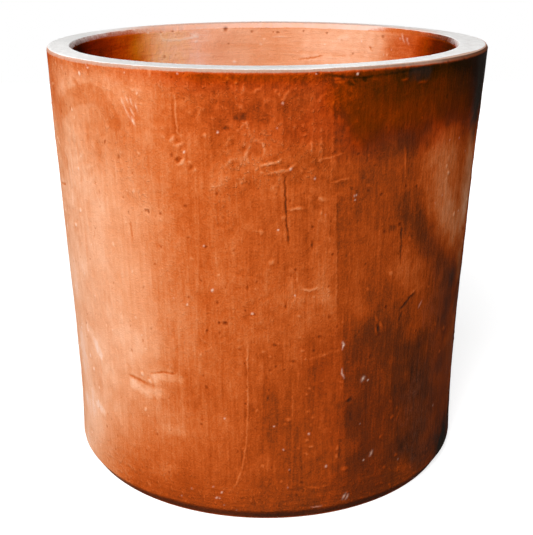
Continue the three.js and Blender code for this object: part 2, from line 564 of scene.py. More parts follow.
# How much painted shade lies just under the rim, most on the right, and how much darker the clay is drawn
# above the foot.
UNDER_RIM_SHADE = (
    (-180, 0.25), (-70, 0.60), (-62, 0.28), (-54, 0.12), (-40, 0.12), (-28, -0.02), (-14, 0.16), (4, 0.06),
    (14, 0.18), (24, 0.22), (34, 0.22), (46, 0.20), (54, 0.45), (62, 1.10), (68, 1.30), (90, 0.70),
    (180, 0.25),
)
FOOT_DARKENING = (
    (-180, 0.30), (-90, 0.05), (-66, -0.10), (-58, 0.12), (-48, 0.50), (-38, 0.90), (-28, 0.90),
    (-18, 0.62), (-8, 0.36), (14, 0.36), (24, 0.10), (34, 0.02), (46, 0.10), (60, 0.25), (90, 0.25),
    (180, 0.30),
)
# And how much painted shade lies right below the lip.
LIP_SHADE = (
    (-180, 0.20), (-75, 0.30), (-50, 0.42), (-30, 0.38), (-16, 0.24), (0, 0.28), (12, 0.28), (18, 0.14),
    (24, 0.18), (31, 0.50), (40, 0.62), (54, 0.75), (68, 0.80), (90, 0.40), (180, 0.20),
)
LIP_SHADE_REACH = 13.0
# Where the clay is drawn a deep orange, partly as the colour of painted shade: under the rim in front, right
# below the lip, and inside.
TOP_DEPTH = (
    (-180, 0.25), (-90, 0.15), (-64, 0.20), (-54, 0.00), (-20, 0.06), (-4, 0.22), (6, 0.20), (13, 0.45),
    (19, 0.70), (46, 0.72), (55, 0.60), (62, 0.35), (90, 0.20), (180, 0.25),
)
TOP_DEPTH_START, TOP_DEPTH_END = 355.0, 400.0
LIP_DEPTH = (
    (-180, 0.3), (-70, 0.3), (-56, 0.2), (-40, 0.16), (-26, 0.35), (-14, 0.75), (12, 0.75), (20, 0.7),
    (40, 0.7), (60, 0.3), (90, 0.2), (180, 0.3),
)
LIP_DEPTH_REACH = 18.0
INSIDE_DEPTH = (
    (-180, 0.05), (-168, 0.10), (-160, 0.24), (-154, 0.36), (-148, 0.43), (-138, 0.46), (-134, 0.54),
    (-131, 0.64), (-127, 0.85), (-119, 0.88), (-112, 0.92), (-98, 1.00), (-60, 0.80), (0, 0.60), (90, 0.90),
    (104, 1.00), (109, 0.92), (113, 0.68), (117, 0.50), (121, 0.38), (127, 0.30), (132, 0.18), (137, 0.03),
    (180, 0.05),
)
# The worn edge inside the rim: its tone, pale at the back as painted light and dark on the left and right as
# painted shade, and more painted shade there in a sooty colour.
INNER_LIP_LIGHT_AND_SHADE = (
    (-180, 0.30), (-150, 0.40), (-140, 0.65), (-134, 0.50), (-128, 0.10), (-117, -0.10), (-105, -0.20),
    (-95, -0.45), (-80, 0.00), (0, 0.20), (80, 0.00), (92, -0.50), (102, -0.62), (109, -0.45), (116, -0.12),
    (127, 0.12), (135, 0.30), (180, 0.30),
)
INNER_LIP_SHADE = (
    (-180, 0), (-128, 0), (-110, 0.1), (-95, 0.25), (-80, 0), (85, 0.1), (94, 0.3), (103, 0.2), (114, 0),
    (180, 0),
)
RIM_TONE, UNDER_TONE = 0.2, 0.25
UNDER_RIM_SHADE_REACH = 68.0
FOOT_DARKENING_REACH = 75.0
FOOT_EDGE_SHADE = 0.6
TONE_WANDER = 0.03

# Inside, the tone by bearing near the rim, pale on the lit back wall as painted light and dark on the left
# and right walls as painted shade; and the tone deeper down.
INSIDE_LIGHT_AND_SHADE = (
    (-180, 0.70), (-170, 0.80), (-162, 0.94), (-158, 1.04), (-154, 1.16), (-148, 1.20), (-145, 1.28),
    (-141, 1.30), (-138, 1.24), (-134, 1.02), (-131, 0.56), (-127, 0.24), (-123, 0.08), (-119, -0.12),
    (-111, -0.36), (-105, -0.44), (-100, -0.68), (-95, -1.02), (-85, -1.00), (-60, 0.20), (0, 0.40),
    (60, 0.20), (92, -1.00), (102, -0.76), (106, -0.72), (110, -0.46), (114, -0.26), (118, -0.06),
    (121, 0.20), (124, 0.22), (127, 0.26), (130, 0.38), (133, 0.52), (137, 0.76), (142, 0.90), (150, 0.92),
    (160, 0.88), (168, 0.80), (176, 0.66), (180, 0.70),
)
DEEP_TONE, DEEP_DEPTH = 0.35, 0.15
DEEP_TOP, DEEP_BOTTOM = 340.0, 250.0


def by_bearing(rings, table, wander=0.0):
    """A value from a table of bearings in degrees, at each place."""
    return np.interp(np.degrees(rings.bearing + wander) * np.ones_like(rings.x), *zip(*table))


def near_top(rings, table, reach):
    """A value by bearing that fades downwards from the rim."""
    return by_bearing(rings, table) * bell((HEIGHT - rings.z) / reach)


def wall_paleness(rings):
    """The broad tone of the wall: painted light and shade round it, painted shade under the rim and below the
    lip, and darker above the foot.
    """
    wander = TONE_WANDER * sampled(wander_noise, rings.place, 40, 60)
    top = near_top(rings, UNDER_RIM_SHADE, UNDER_RIM_SHADE_REACH)
    foot = by_bearing(rings, FOOT_DARKENING) * bell(rings.z / FOOT_DARKENING_REACH)
    lip = near_top(rings, LIP_SHADE, LIP_SHADE_REACH)
    return by_bearing(rings, WALL_LIGHT_AND_SHADE, wander) - top - foot - lip


def wall_depth(rings):
    wander = 3 * TONE_WANDER * sampled(wander_noise, rings.place, 30, 30)
    ragged = 12 * sampled(tone_noise, rings.place, 40, 30, 2)
    top = by_bearing(rings, TOP_DEPTH, wander) * smooth_step(TOP_DEPTH_START, TOP_DEPTH_END, rings.z + ragged)
    return np.maximum(top, near_top(rings, LIP_DEPTH, LIP_DEPTH_REACH))


def faded_inside(rings, table, deep, wander=0.0):
    """A value by bearing inside, which fades to one deep value further down."""
    near = smooth_step(DEEP_BOTTOM, DEEP_TOP, rings.z)
    return deep + (by_bearing(rings, table, wander) - deep) * near


def inside_paleness(rings):
    wander = 2 * TONE_WANDER * sampled(wander_noise, rings.place, 30, 20)
    return faded_inside(rings, INSIDE_LIGHT_AND_SHADE, DEEP_TONE, wander)


def inside_depth(rings):
    return faded_inside(rings, INSIDE_DEPTH, DEEP_DEPTH)


# The lime bloom lies on the rim: white on the left, front and right, and peach at the back, where it is
# warmest towards the bore. A thin wash of it, pinkish grey, covers the lips on both sides of the rim.
BLOOM_TONES = (
    (-180, 0.30), (-150, 0.26), (-139, 0.32), (-131, 0.60), (-115, 1.0), (98, 1.0), (108, 0.90),
    (117, 0.76), (128, 0.68), (140, 0.60), (160, 0.42), (180, 0.30),
)
BLOOM_SLOPE = 0.5
LIP_TONES = (
    (-180, 0.5), (-90, 0.6), (-66, 0.75), (-40, 0.75), (-15, 1.0), (20, 1.0), (35, 0.95), (60, 0.9),
    (75, 0.85), (90, 0.5), (180, 0.5),
)
# Where the wash's lower edge lies on the outer lip, upwards from the wall, and how thickly the bloom covers
# the inner lip: thinly on its left and right, where the painted shade shows through. Below a full cover the
# bloom thins out towards the bore.
FULL_COVER = 0.95
LIP_REACH = (
    (-180, 0), (-66, 0.3), (-40, 0.3), (-15, 1.0), (14, 1.0), (20, 1.3), (31, 1.2), (44, 0.7), (56, 0.9),
    (70, 0.3), (180, 0),
)
INNER_BLOOM = (
    (-180, 1.0), (-150, 1.0), (-143, 0.9), (-136, 0.7), (-128, 0.40), (-117, 0.38), (-105, 0.52),
    (-95, 0.6), (-80, 0.9), (-60, 1.0), (60, 1.0), (80, 0.7), (92, 0.45), (97, 0.24), (104, 0.20),
    (118, 0.18), (128, 0.05), (134, 0.3), (142, 1.0), (180, 1.0),
)
# Where the bloom's outer edge lies, from the rim's corner inwards.
BLOOM_EDGE = (
    (-180, 0.0), (-70, 0.2), (-60, -0.4), (-40, -0.3), (-20, -0.2), (-6, -0.2), (8, -1.0), (16, 0.2),
    (24, 0.8), (31, 1.5), (40, 2.3), (48, 4.6), (57, 5.0), (64, 2.6), (72, 1.6), (90, 1.0), (120, 0.0),
    (180, 0.0),
)
# How pale the outer lip's wash is: painted light on the left, painted shade on the right; and how dark the
# rim is drawn.
LIP_WASH_LIGHT_AND_SHADE = (
    (-180, 0.6), (-90, 0.8), (-60, 1.0), (-34, 1.0), (-15, 0.78), (0, 0.72), (12, 0.66), (20, 0.50),
    (31, 0.40), (40, 0.48), (47, 0.20), (54, 0.08), (64, 0.0), (90, 0.2), (180, 0.6),
)
RIM_DARKENING = (
    (-180, 0.12), (-140, 0.05), (-125, 0.12), (-110, 0.26), (-90, 0.24), (-76, 0.14), (-55, 0.10),
    (-40, 0.30), (6, 0.34), (18, 0.12), (40, 0.0), (130, 0.0), (170, 0.16), (180, 0.12),
)


def rim_cover(rings):
    """How thickly the bloom lies on the rim's face and over the inner lip."""
    arc = rings.arc + 0.35 * sampled(bloom_noise, rings.place, 12, 8, 3)
    thin = 0.16 * sampled(bloom_noise, rings.place, 5, 5, 2)
    start = RIM_START + by_bearing(rings, BLOOM_EDGE)
    top = smooth_step(start - 0.9, start + 0.7, arc)
    top = top * (1 - smooth_step(RIM_END - 0.3, RIM_END + 0.9, arc))
    on_lip = by_bearing(rings, INNER_BLOOM)
    inner = share_between(arc, RIM_END + 0.3, BORE_START + 0.2, 0.6) * on_lip
    fading = 1 - 0.45 * smooth_step(RIM_END, BORE_START, rings.arc) * (on_lip < FULL_COVER)
    return (1 + thin) * (top + inner * fading)


def lip_cover(rings):
    """The thin wash on the worn edge outside the rim."""
    arc = rings.arc + 0.3 * sampled(bloom_noise, rings.place, 9, 6, 3)
    start = WALL_END - 0.3 + by_bearing(rings, LIP_REACH)
    end = RIM_START + np.maximum(by_bearing(rings, BLOOM_EDGE), 0)
    upper = 1 - smooth_step(end, end + 1, arc)
    lower = smooth_step(start - 0.7, start + 0.6, arc)
    lower = lower * (0.7 + 0.3 * smooth_step(start, RIM_START, rings.arc))
    return lower * upper * by_bearing(rings, LIP_TONES)


def rim_chalk(rings):
    """How white the bloom is."""
    across = (rings.arc - RIM_START) / (RIM_END - RIM_START)
    around = by_bearing(rings, BLOOM_TONES, 0.05 * wander_noise(rings.x / 30, rings.y / 30, 1))
    around = around + BLOOM_SLOPE * (0.5 - np.clip(across, 0, 1)) * (around < FULL_COVER)
    on_lip = 1 - smooth_step(RIM_START - 0.8, RIM_START, rings.arc)
    return around + (by_bearing(rings, LIP_WASH_LIGHT_AND_SHADE) - around) * on_lip


def rim_darkening(rings):
    """Darkening on the rim, left off its inner edge, which stays bright as a painted highlight of that
    rounded edge.
    """
    return by_bearing(rings, RIM_DARKENING) * (1 - smooth_step(RIM_END - 2.5, RIM_END - 0.5, rings.arc))


# How uneven a mark is. A spot: how steep its sides are, how far it is drawn in, and its reach in widths. A
# line: how far it is drawn in, where it starts to fade before its ends, and how much of it is left there.
MARK_PATCHINESS = 0.55
SPOT_EDGE, SPOT_DRAW, SPOT_REACH = 1.5, 0.83, 1.6
LINE_DRAW, LINE_TAPER, LINE_END_SHARE = 1.7, 4.0, 0.3


def press(rings, place, shape, reach, depth, values):
    """Presses one shape into the skin, or raises it, and adds to its surface values there."""
    found = rings.window(*place, reach, reach)
    if found is None:
        return
    where, across, along = found
    shift_across, shift_along = (ragged[where] for ragged in rings.ragged)
    amount = shape(across + shift_across, along + shift_along) * (1 + MARK_PATCHINESS * shift_across)
    rings.relief[where] += depth * amount
    for name, size in values.items():
        rings.value[name][where] += size * amount


def spot(width, tall, lean=0):
    """A rounded spot, width by tall, leaning clockwise by some degrees."""
    cos, sin = math.cos(math.radians(lean)), math.sin(math.radians(lean))

    def shape(across, along):
        u = (across * cos - along * sin) / (width / 2)
        v = (across * sin + along * cos) / (tall / 2)
        return np.exp(-(SPOT_DRAW * np.hypot(u, v)) ** (2 * SPOT_EDGE))

    return shape


def gap_to_path(points, across, along):
    """How far each place is from a path, how far along the path it lies, and the path's length."""
    best = np.full(across.shape, np.inf)
    run = np.zeros(across.shape)
    before = 0.0
    for start, end in zip(points, points[1:]):
        length = math.dist(start, end)
        way = ((end[0] - start[0]) / length, (end[1] - start[1]) / length)
        along_way = np.clip((across - start[0]) * way[0] + (along - start[1]) * way[1], 0, length)
        gap = np.hypot(across - start[0] - way[0] * along_way, along - start[1] - way[1] * along_way)
        nearer = gap < best
        best = np.where(nearer, gap, best)
        run = np.where(nearer, before + along_way, run)
        before += length
    return best, run, before


def line(points, width):
    """A line through points, as wide as width, that fades towards its ends."""

    def shape(across, along):
        gap, run, total = gap_to_path(points, across, along)
        ends = np.clip(np.minimum(run, total - run) / min(LINE_TAPER, total / 2), 0, 1)
        return bell(gap / (width / LINE_DRAW)) * (LINE_END_SHARE + (1 - LINE_END_SHARE) * ends)

    return shape


def path_on(surface, pixels):
    """A path of pixels on a surface: its middle, its points round that middle, and how far they reach."""
    places = [surface(pixel) for pixel in pixels]
    bearing = sum(place[0] for place in places) / len(places)
    arc = sum(place[1] for place in places) / len(places)
    radius = float(outline.at(arc, outline.radius))
    points = [((place[0] - bearing) * radius, place[1] - arc) for place in places]
    return (bearing, arc), points, max(math.hypot(*point) for point in points)


# What each kind of mark does to the skin at full strength: its height, and what it adds to the values.
# Raised kinds are drawn paler, partly worn tops and partly painted highlight; grooves and hollows darker, as
# painted shade in them.
KINDS = {
    "pit": (-0.8, {"pit": 0.75}),
    "hollow": (-0.6, {"paleness": -0.22}),
    "groove": (-0.55, {"paleness": -0.35}),
    "bead": (0.5, {"paleness": 0.21}),
    "ridge": (0.5, {"paleness": 0.17}),
    "lime": (0.25, {"lime": 0.72}),
    "scuff": (0.2, {"lime": 0.35, "paleness": 0.1}),
}

LIME_SHRINK = 0.85

# Marks that the photograph shows. A spot is its pixel, its width and height in millimetres, its strength
# and, if it leans, its lean in degrees.
WALL_SPOTS = {
    "pit": (
        (70, 108.3, 1.8, 2.4, 0.5), (104.7, 142, 1.8, 3.4, 0.5, 12), (118.2, 157, 1.8, 3.6, 0.5, 5),
        (132.3, 172.9, 1.4, 1.8, 0.35), (123.2, 197.3, 1.4, 2.0, 0.35), (128.5, 212.1, 1.3, 3.4, 0.45),
        (145.6, 210.2, 2.6, 1.3, 0.6), (148.4, 211.6, 1.7, 3.0, 0.75, -20),
        (160.4, 214.5, 1.7, 2.4, 0.6, 15), (155.2, 216, 1.4, 1.6, 0.4), (185, 206.2, 2.4, 1.7, 0.6, -20),
        (183.8, 100, 1.4, 1.6, 0.5), (217, 193.8, 1.7, 2.0, 0.55), (222.6, 218, 1.3, 2.2, 0.5),
        (160.6, 247, 2.0, 2.0, 0.5), (153.9, 264.7, 1.5, 1.7, 0.55), (142.8, 287.5, 1.3, 1.8, 0.45),
        (143, 236, 1.2, 1.5, 0.4), (90, 259, 1.4, 1.4, 0.4), (95, 228.5, 1.4, 1.4, 0.4),
        (86.3, 323, 1.6, 2.2, 0.45, -20), (130, 326, 1.3, 1.8, 0.4), (171.3, 155.6, 2.4, 2.8, 0.7),
        (205.8, 247.2, 2.0, 1.6, 0.8), (201.2, 280.8, 1.5, 2.0, 0.6), (217, 303.2, 1.8, 2.6, 0.6),
        (224.9, 323.2, 3.6, 2.9, 1.05), (219.4, 323.7, 1.6, 1.8, 0.8), (206.7, 331.2, 1.6, 2.2, 0.7, 15),
        (245.7, 310.6, 1.4, 1.8, 0.7), (254.6, 315, 2.0, 1.4, 0.7), (256.8, 282, 1.4, 1.6, 0.5),
        (244.6, 363.8, 1.8, 1.6, 0.7), (277.8, 262.8, 1.3, 1.5, 0.6), (295.8, 270, 1.8, 2.0, 0.7),
        (328.9, 286.7, 1.5, 1.5, 0.8), (332.9, 254.8, 1.3, 1.3, 0.6), (358.9, 153.6, 2.2, 1.7, 0.8),
        (381.4, 194.5, 1.9, 1.9, 0.9), (406.4, 185.6, 1.9, 2.8, 0.9), (400, 224, 2.3, 2.7, 0.9),
        (385, 232, 2.1, 2.1, 0.9), (390.3, 227, 1.4, 1.8, 0.5), (386.4, 307.4, 2.3, 2.0, 0.9),
        (379.4, 334.6, 2.8, 2.6, 0.9), (313.9, 350.5, 1.8, 1.8, 0.8), (319.3, 337, 1.6, 1.6, 0.6),
        (276, 366, 1.6, 1.4, 0.6), (270.2, 370.2, 1.6, 1.6, 0.6), (284.3, 370.4, 1.4, 1.4, 0.5),
        (269, 390.2, 1.5, 2.0, 0.7), (245.7, 404, 1.4, 1.4, 0.5), (157.3, 434.5, 1.7, 1.9, 0.5),
        (169, 472.5, 2.2, 1.9, 0.65), (201.8, 420.2, 1.3, 1.3, 0.5), (169, 399, 1.4, 1.4, 0.35),
        (318.6, 72.6, 2.0, 1.6, 0.9), (374.4, 70, 2.0, 1.4, 0.8), (449, 58.8, 2.4, 2.4, 0.8),
        (284.8, 451, 2.0, 1.4, 0.6), (290, 471, 1.6, 1.4, 0.6),
    ),
    "hollow": (
        (240.5, 117, 9.0, 6.5, 1.0, -15), (226, 128.6, 6.0, 3.0, 0.7), (178, 159.6, 4.2, 3.6, 1.0),
        (176.5, 141, 5.0, 4.0, 0.7, 20), (256, 152, 9.0, 9.0, 0.5), (286, 111, 7.0, 8.0, 0.4, 10),
        (266, 120, 8.0, 10.0, 0.4), (352, 82.3, 9.0, 4.0, 0.9), (364.8, 79.4, 5.0, 3.2, 0.8),
        (349.5, 400, 4.5, 3.0, 0.6, -20), (320, 337.5, 4.5, 3.5, 0.5), (393, 228.5, 8.0, 6.0, 0.5),
        (158, 246, 6.0, 5.0, 0.3), (75, 82, 10.0, 5.0, 0.4, 30), (307, 118, 7.0, 8.0, 0.4),
    ),
    "bead": (
        (227.8, 78.6, 2.4, 2.0, 0.7), (235, 82.6, 2.6, 2.2, 0.9), (231.5, 86.3, 2.4, 2.2, 0.6),
        (239.8, 105.4, 4.4, 3.4, 0.8), (204.8, 135.6, 2.6, 3.0, 0.8, 20), (276.5, 91, 2.0, 2.0, 0.8),
        (279.2, 95, 2.0, 2.0, 0.7), (281.9, 99.6, 1.8, 1.8, 0.8), (302.6, 350.8, 2.6, 2.0, 1.0),
        (305.8, 359.2, 1.6, 1.6, 0.7), (263.2, 352, 2.2, 2.4, 0.7), (269.9, 356.8, 2.4, 1.8, 0.7),
        (309.8, 388.6, 1.8, 2.4, 1.0), (306.8, 394.4, 1.6, 2.0, 0.8), (313, 391, 1.4, 1.6, 0.7),
        (308, 411, 3.2, 2.2, 0.7), (312.4, 417.6, 3.4, 2.0, 0.7), (306.6, 440, 4.0, 2.4, 0.9, -10),
        (311.4, 446.5, 4.2, 2.2, 0.8), (306, 453.8, 4.2, 2.2, 0.8, 10), (337.4, 448, 2.0, 4.0, 0.8),
        (336.6, 456.6, 2.4, 4.0, 0.9), (255.4, 289, 2.0, 2.4, 0.4), (261.7, 172.8, 2.6, 1.8, 0.6),
        (447, 166, 2.6, 3.0, 0.8), (448.6, 173, 3.0, 3.4, 0.9, 20), (446.2, 178.6, 2.2, 2.6, 0.6),
    ),
    "lime": (
        (78.9, 73.3, 2.4, 3.4, 1.0, -10), (87.3, 67.6, 3.4, 1.7, 0.7, 10), (62, 66.6, 1.2, 3.0, 0.4, -25),
        (124, 73, 2.0, 1.6, 0.4), (176.7, 73.7, 1.5, 1.5, 0.8), (184.3, 152.3, 1.7, 1.9, 0.9),
        (136.6, 93.3, 1.6, 1.6, 0.7), (217.5, 133, 1.7, 1.7, 0.8), (282.6, 103.4, 1.9, 1.7, 0.8),
        (290.8, 168.8, 2.0, 2.0, 0.8), (315.4, 178.6, 1.4, 2.2, 0.5), (278.2, 230.2, 1.5, 1.7, 0.95),
        (295.4, 296, 1.4, 1.4, 0.9), (212.3, 290.6, 2.2, 3.2, 0.75, 20), (187.6, 304.6, 1.6, 2.0, 0.7),
        (173.3, 298.3, 1.2, 1.6, 0.5), (141.8, 335.3, 1.4, 1.4, 0.7), (203.6, 246.2, 1.8, 1.5, 0.9),
        (252.4, 313.6, 2.0, 1.5, 0.8), (354.6, 195.6, 1.7, 1.5, 0.85), (356.7, 194.8, 1.4, 1.6, 0.8),
        (355.3, 199.3, 1.5, 1.4, 0.7), (368.1, 379.8, 1.6, 1.7, 0.8), (363.6, 460.4, 1.6, 1.7, 0.7),
        (359.9, 423.1, 1.5, 1.2, 0.55), (326, 466.4, 2.0, 2.0, 0.75), (308.9, 433.5, 2.0, 1.6, 0.7),
        (273.8, 426.3, 1.9, 1.4, 0.9), (288.7, 469.8, 1.5, 1.2, 0.7), (283.4, 450, 1.6, 1.6, 0.6),
        (316.8, 73.6, 1.4, 1.3, 0.7), (450.2, 140, 1.6, 1.7, 0.45), (459.7, 138, 1.6, 1.8, 0.5),
        (465.6, 150.4, 1.6, 2.4, 0.35), (442.7, 195.2, 1.8, 1.8, 0.35), (435.2, 203, 1.4, 1.6, 0.25),
        (221.9, 492.2, 2.0, 1.7, 0.75), (216.9, 497.9, 2.4, 1.8, 0.75), (219.4, 498.6, 1.6, 1.4, 0.6),
        (213.3, 486.6, 1.7, 1.4, 0.45), (191.6, 488.7, 1.6, 1.2, 0.45), (181.4, 495.6, 1.4, 1.2, 0.5),
        (224.2, 505, 1.4, 1.2, 0.5), (236.6, 511.6, 1.4, 1.2, 0.5), (287.6, 487.6, 1.4, 1.8, 0.4),
    ),
}

# A line is its width in millimetres, its strength and its pixels.
WALL_LINES = {
    "ridge": (
        (1.5, 0.75, ((174.4, 96), (177, 131), (179.4, 137.4))), (1.5, 1.6, ((334.6, 78.4), (341, 78.2))),
        (1.5, 1.9, ((335, 81.8), (344, 81.4))), (1.8, 1.6, ((351.6, 80.6), (356.4, 83.4))),
        (1.7, 1.8, ((401.8, 80.6), (408.2, 78.6))), (1.7, 1.9, ((418.6, 82.6), (427.2, 80.8))),
        (2.2, 0.9, ((249.6, 93), (255.4, 91.6), (261, 86.8))),
        (2.4, 0.8, ((240.4, 95.4), (243.4, 90), (245, 85.2))),
        (2.2, 0.9, ((241, 127.4), (247, 122), (249.4, 132.4))),
        (2.2, 0.8, ((282.6, 103.6), (286.4, 94), (292, 88))), (2.0, 0.8, ((293.6, 129.8), (297, 124.8))),
        (2.6, 1.0, ((250, 146), (246, 155), (247.2, 165.4))),
        (2.2, 0.6, ((250.6, 141.6), (256, 139.8), (262, 143), (265, 150), (264, 156))),
        (1.8, 1.4, ((260, 165.3), (279, 162.2), (281.4, 158.4))),
        (2.2, 0.8, ((269, 173), (288.4, 169.8), (297.6, 163.4))), (1.6, 0.7, ((311, 137.6), (311.6, 154))),
        (1.5, 0.9, ((318.6, 159.6), (333, 157), (344, 153))), (1.5, 0.8, ((331, 183.2), (352, 177.4))),
        (1.6, 0.5, ((208, 186.2), (221, 185.8))), (2.0, 1.3, ((289.8, 209.7), (303.6, 207.7))),
        (1.6, 0.5, ((253.4, 231), (260.4, 230.4))),
        (1.8, 1.3, ((302.4, 289), (310, 290.2), (317.6, 287.8))),
        (1.5, 0.7, ((247.3, 349.6), (248, 403), (246.4, 441), (242.4, 468), (233.8, 489))),
        (1.4, 0.45, ((293, 381), (292.2, 449), (291.8, 487))), (2.0, 0.9, ((169.6, 142), (173.6, 135.8))),
        (1.8, 0.7, ((180, 132.6), (180.8, 138))), (2.0, 0.7, ((174, 145.4), (180, 145), (183, 142.4))),
        (2.2, 1.1, ((184.4, 158), (182, 163), (176.4, 164.6))), (2.2, 0.7, ((193, 172), (196.4, 167.4))),
        (2.4, 0.4, ((308, 360), (325, 354), (342, 350))), (1.8, 0.6, ((405.4, 147.6), (405.6, 180))),
        (1.4, 0.7, ((336.8, 381.6), (344.2, 381.4))), (1.5, 0.7, ((296.8, 272), (297.2, 283))),
        (1.8, 0.8, ((372.6, 80), (381, 79))), (2.4, 0.8, ((409.4, 296.6), (416.4, 287.8))),
        (1.6, 0.9, ((375, 315.8), (377.6, 321.8))), (1.6, 1.0, ((380, 322.4), (382.6, 327.2))),
        (1.6, 0.7, ((376.2, 328), (376.8, 335.4))),
        (1.5, 0.6, ((306, 487.2), (318, 487.6), (328.6, 485.8))),
        (1.6, 0.6, ((395.2, 438), (397.8, 431.6))), (1.6, 0.5, ((396.6, 420), (399.6, 411))),
        (1.8, 0.35, ((125, 85), (133, 90), (142, 91))), (2.2, 0.5, ((196, 120), (199, 111), (205, 108))),
        (2.6, 0.5, ((262, 110), (266, 101), (272, 99))), (2.6, 0.5, ((226, 146), (229, 138), (236, 136))),
        (2.4, 0.5, ((300, 150), (303, 141), (301, 132))), (2.4, 0.45, ((270, 190), (277, 184), (279, 177))),
        (2.4, 0.45, ((223, 168), (231, 160), (238, 158))), (2.2, 0.4, ((318, 104), (322, 96), (329, 92))),
        (2.6, 0.4, ((236, 186), (243, 180), (247, 172))),
    ),
    "groove": (
        (1.4, 0.9, ((284.3, 174.6), (286.7, 222), (289, 245))), (1.2, 0.5, ((129.8, 220), (132.3, 240))),
        (1.5, 0.8, ((401.9, 225), (401, 264))),
        (2.4, 0.75, ((399.6, 309.6), (403, 307), (407.8, 301), (411, 296), (414.4, 293))),
        (2.6, 0.7, ((129.4, 374.4), (138, 379), (147.8, 384))),
        (1.3, 0.7, ((150, 373.8), (162, 372), (176, 374.4))), (2.2, 0.9, ((188.8, 170.6), (192.2, 165.4))),
        (1.6, 0.6, ((326.5, 74.6), (345, 77), (362, 78), (376, 75.8))),
        (1.6, 0.35, ((376, 75.8), (400, 72.4), (425, 67.8), (446, 61.8))),
        (2.2, 1.0, ((378.2, 325), (379.2, 332))), (1.4, 0.9, ((272.4, 345.4), (279, 345.2))),
        (1.4, 0.9, ((290.4, 361), (296.4, 361.6))), (1.3, 0.8, ((268.2, 395.4), (267.6, 401.4))),
        (1.6, 0.9, ((312.2, 241), (312.5, 248))), (1.6, 0.8, ((286, 302.6), (285.8, 309.6))),
        (1.4, 0.7, ((247.6, 284), (247, 291))), (1.8, 0.5, ((403, 311), (398, 323))),
        (1.6, 0.5, ((340, 446), (339, 459))), (1.8, 0.5, ((352, 396), (346, 402))),
    ),
    "lime": (
        (1.3, 0.9, ((342.4, 341.8), (344.4, 345), (342.6, 349.2))),
        (1.1, 1.0, ((342.3, 368.4), (341.7, 373.8), (344.2, 378.6))),
        (2.5, 1.0, ((362.4, 380.4), (364.2, 377.2))), (1.8, 0.7, ((370.2, 455.8), (372.2, 450.8))),
        (1.7, 0.8, ((342.3, 499.2), (345.8, 493))), (1.7, 0.8, ((345.8, 499), (348.2, 494))),
    ),
    "scuff": (
        (1.3, 1.0, ((120.8, 98.4), (123.6, 106))), (1.3, 1.0, ((125, 95.6), (127.6, 103.8))),
        (1.3, 1.1, ((129, 97.4), (132, 105.6))), (1.3, 0.9, ((123, 106), (127, 113))),
        (1.4, 1.2, ((129.6, 107.6), (133.4, 116))), (1.6, 1.6, ((130.8, 117), (134.6, 125.4))),
        (1.3, 0.9, ((135, 103), (137, 112))), (1.3, 0.8, ((126.6, 112.4), (129.6, 120))),
        (1.4, 0.9, ((418.8, 307.8), (422.4, 300.6))), (1.2, 0.8, ((310.6, 507.6), (321.6, 506.2))),
        (1.2, 0.6, ((60, 65), (63, 71))),
    ),
}

BORE_SPOTS = {
    "pit": (
        (225.8, 28.6, 4.4, 5.0, 1.0, 15), (252, 31.4, 2.4, 1.8, 0.7), (277.8, 32.4, 2.6, 1.8, 0.8),
        (303.4, 31, 2.0, 2.0, 0.6), (326.6, 32.8, 2.2, 2.2, 0.6), (172.8, 31.4, 2.8, 2.0, 0.6),
        (161, 33, 2.0, 1.6, 0.5), (164.4, 57, 2.8, 3.0, 0.5), (383, 36.8, 2.8, 2.6, 0.8),
        (352.8, 53.8, 1.8, 1.8, 0.8),
    ),
    "lime": (
        (147.7, 31.6, 3.6, 2.4, 0.6), (261, 44, 3.6, 2.2, 0.6, 15), (361.5, 41, 2.6, 2.4, 0.8),
        (407.4, 38.6, 1.8, 2.4, 0.5),
    ),
}
BORE_LINES = {
    "scuff": (
        (1.8, 1.1, ((160.4, 34), (163.4, 40.4), (182, 39.6), (198.6, 36.4))),
        (2.4, 0.8, ((190, 33.4), (198, 37.4))), (2.0, 0.6, ((194, 32.6), (200, 35))),
        (1.6, 0.5, ((272, 36.8), (287, 36.6))), (1.8, 1.0, ((401.6, 34), (404, 42.6))),
        (1.8, 0.9, ((406, 38), (408.6, 44))),
    ),
    "groove": (
        (1.8, 0.9, ((369, 46.4), (371.6, 50.6))), (1.6, 0.7, ((298.6, 59.4), (311, 57.8), (322.6, 55.4))),
    ),
}
RIM_SPOTS = {"lime": ((360.8, 67, 2.2, 2.0, 1.0),)}
RIM_LINES = {"hollow": ((1.6, 0.5, ((396, 62.6), (404, 61.4))),)}

# The marks of each surface.
MARKS = (
    (on_wall, WALL_SPOTS, WALL_LINES),
    (on_bore, BORE_SPOTS, BORE_LINES),
    (on_rim, RIM_SPOTS, RIM_LINES),
)


def press_kind(rings, kind, strength, place, shape, reach):
    """Presses a mark of a known kind into the skin, at a share of its full strength."""
    depth, values = KINDS[kind]
    scaled = {name: change * strength for name, change in values.items()}
    press(rings, place, shape, reach, depth * strength, scaled)


def photographed_marks(rings):
    for surface, spots, lines in MARKS:
        for kind, marks in spots.items():
            size = LIME_SHRINK if kind == "lime" else 1
            for px, py, width, tall, strength, *lean in marks:
                shape = spot(size * width, size * tall, *lean)
                reach = SPOT_REACH * max(width, tall)
                press_kind(rings, kind, strength, surface((px, py)), shape, reach)
        for kind, marks in lines.items():
            for width, strength, pixels in marks:
                middle, points, reach = path_on(surface, pixels)
                press_kind(rings, kind, strength, middle, line(points, width), reach + 2 * width)
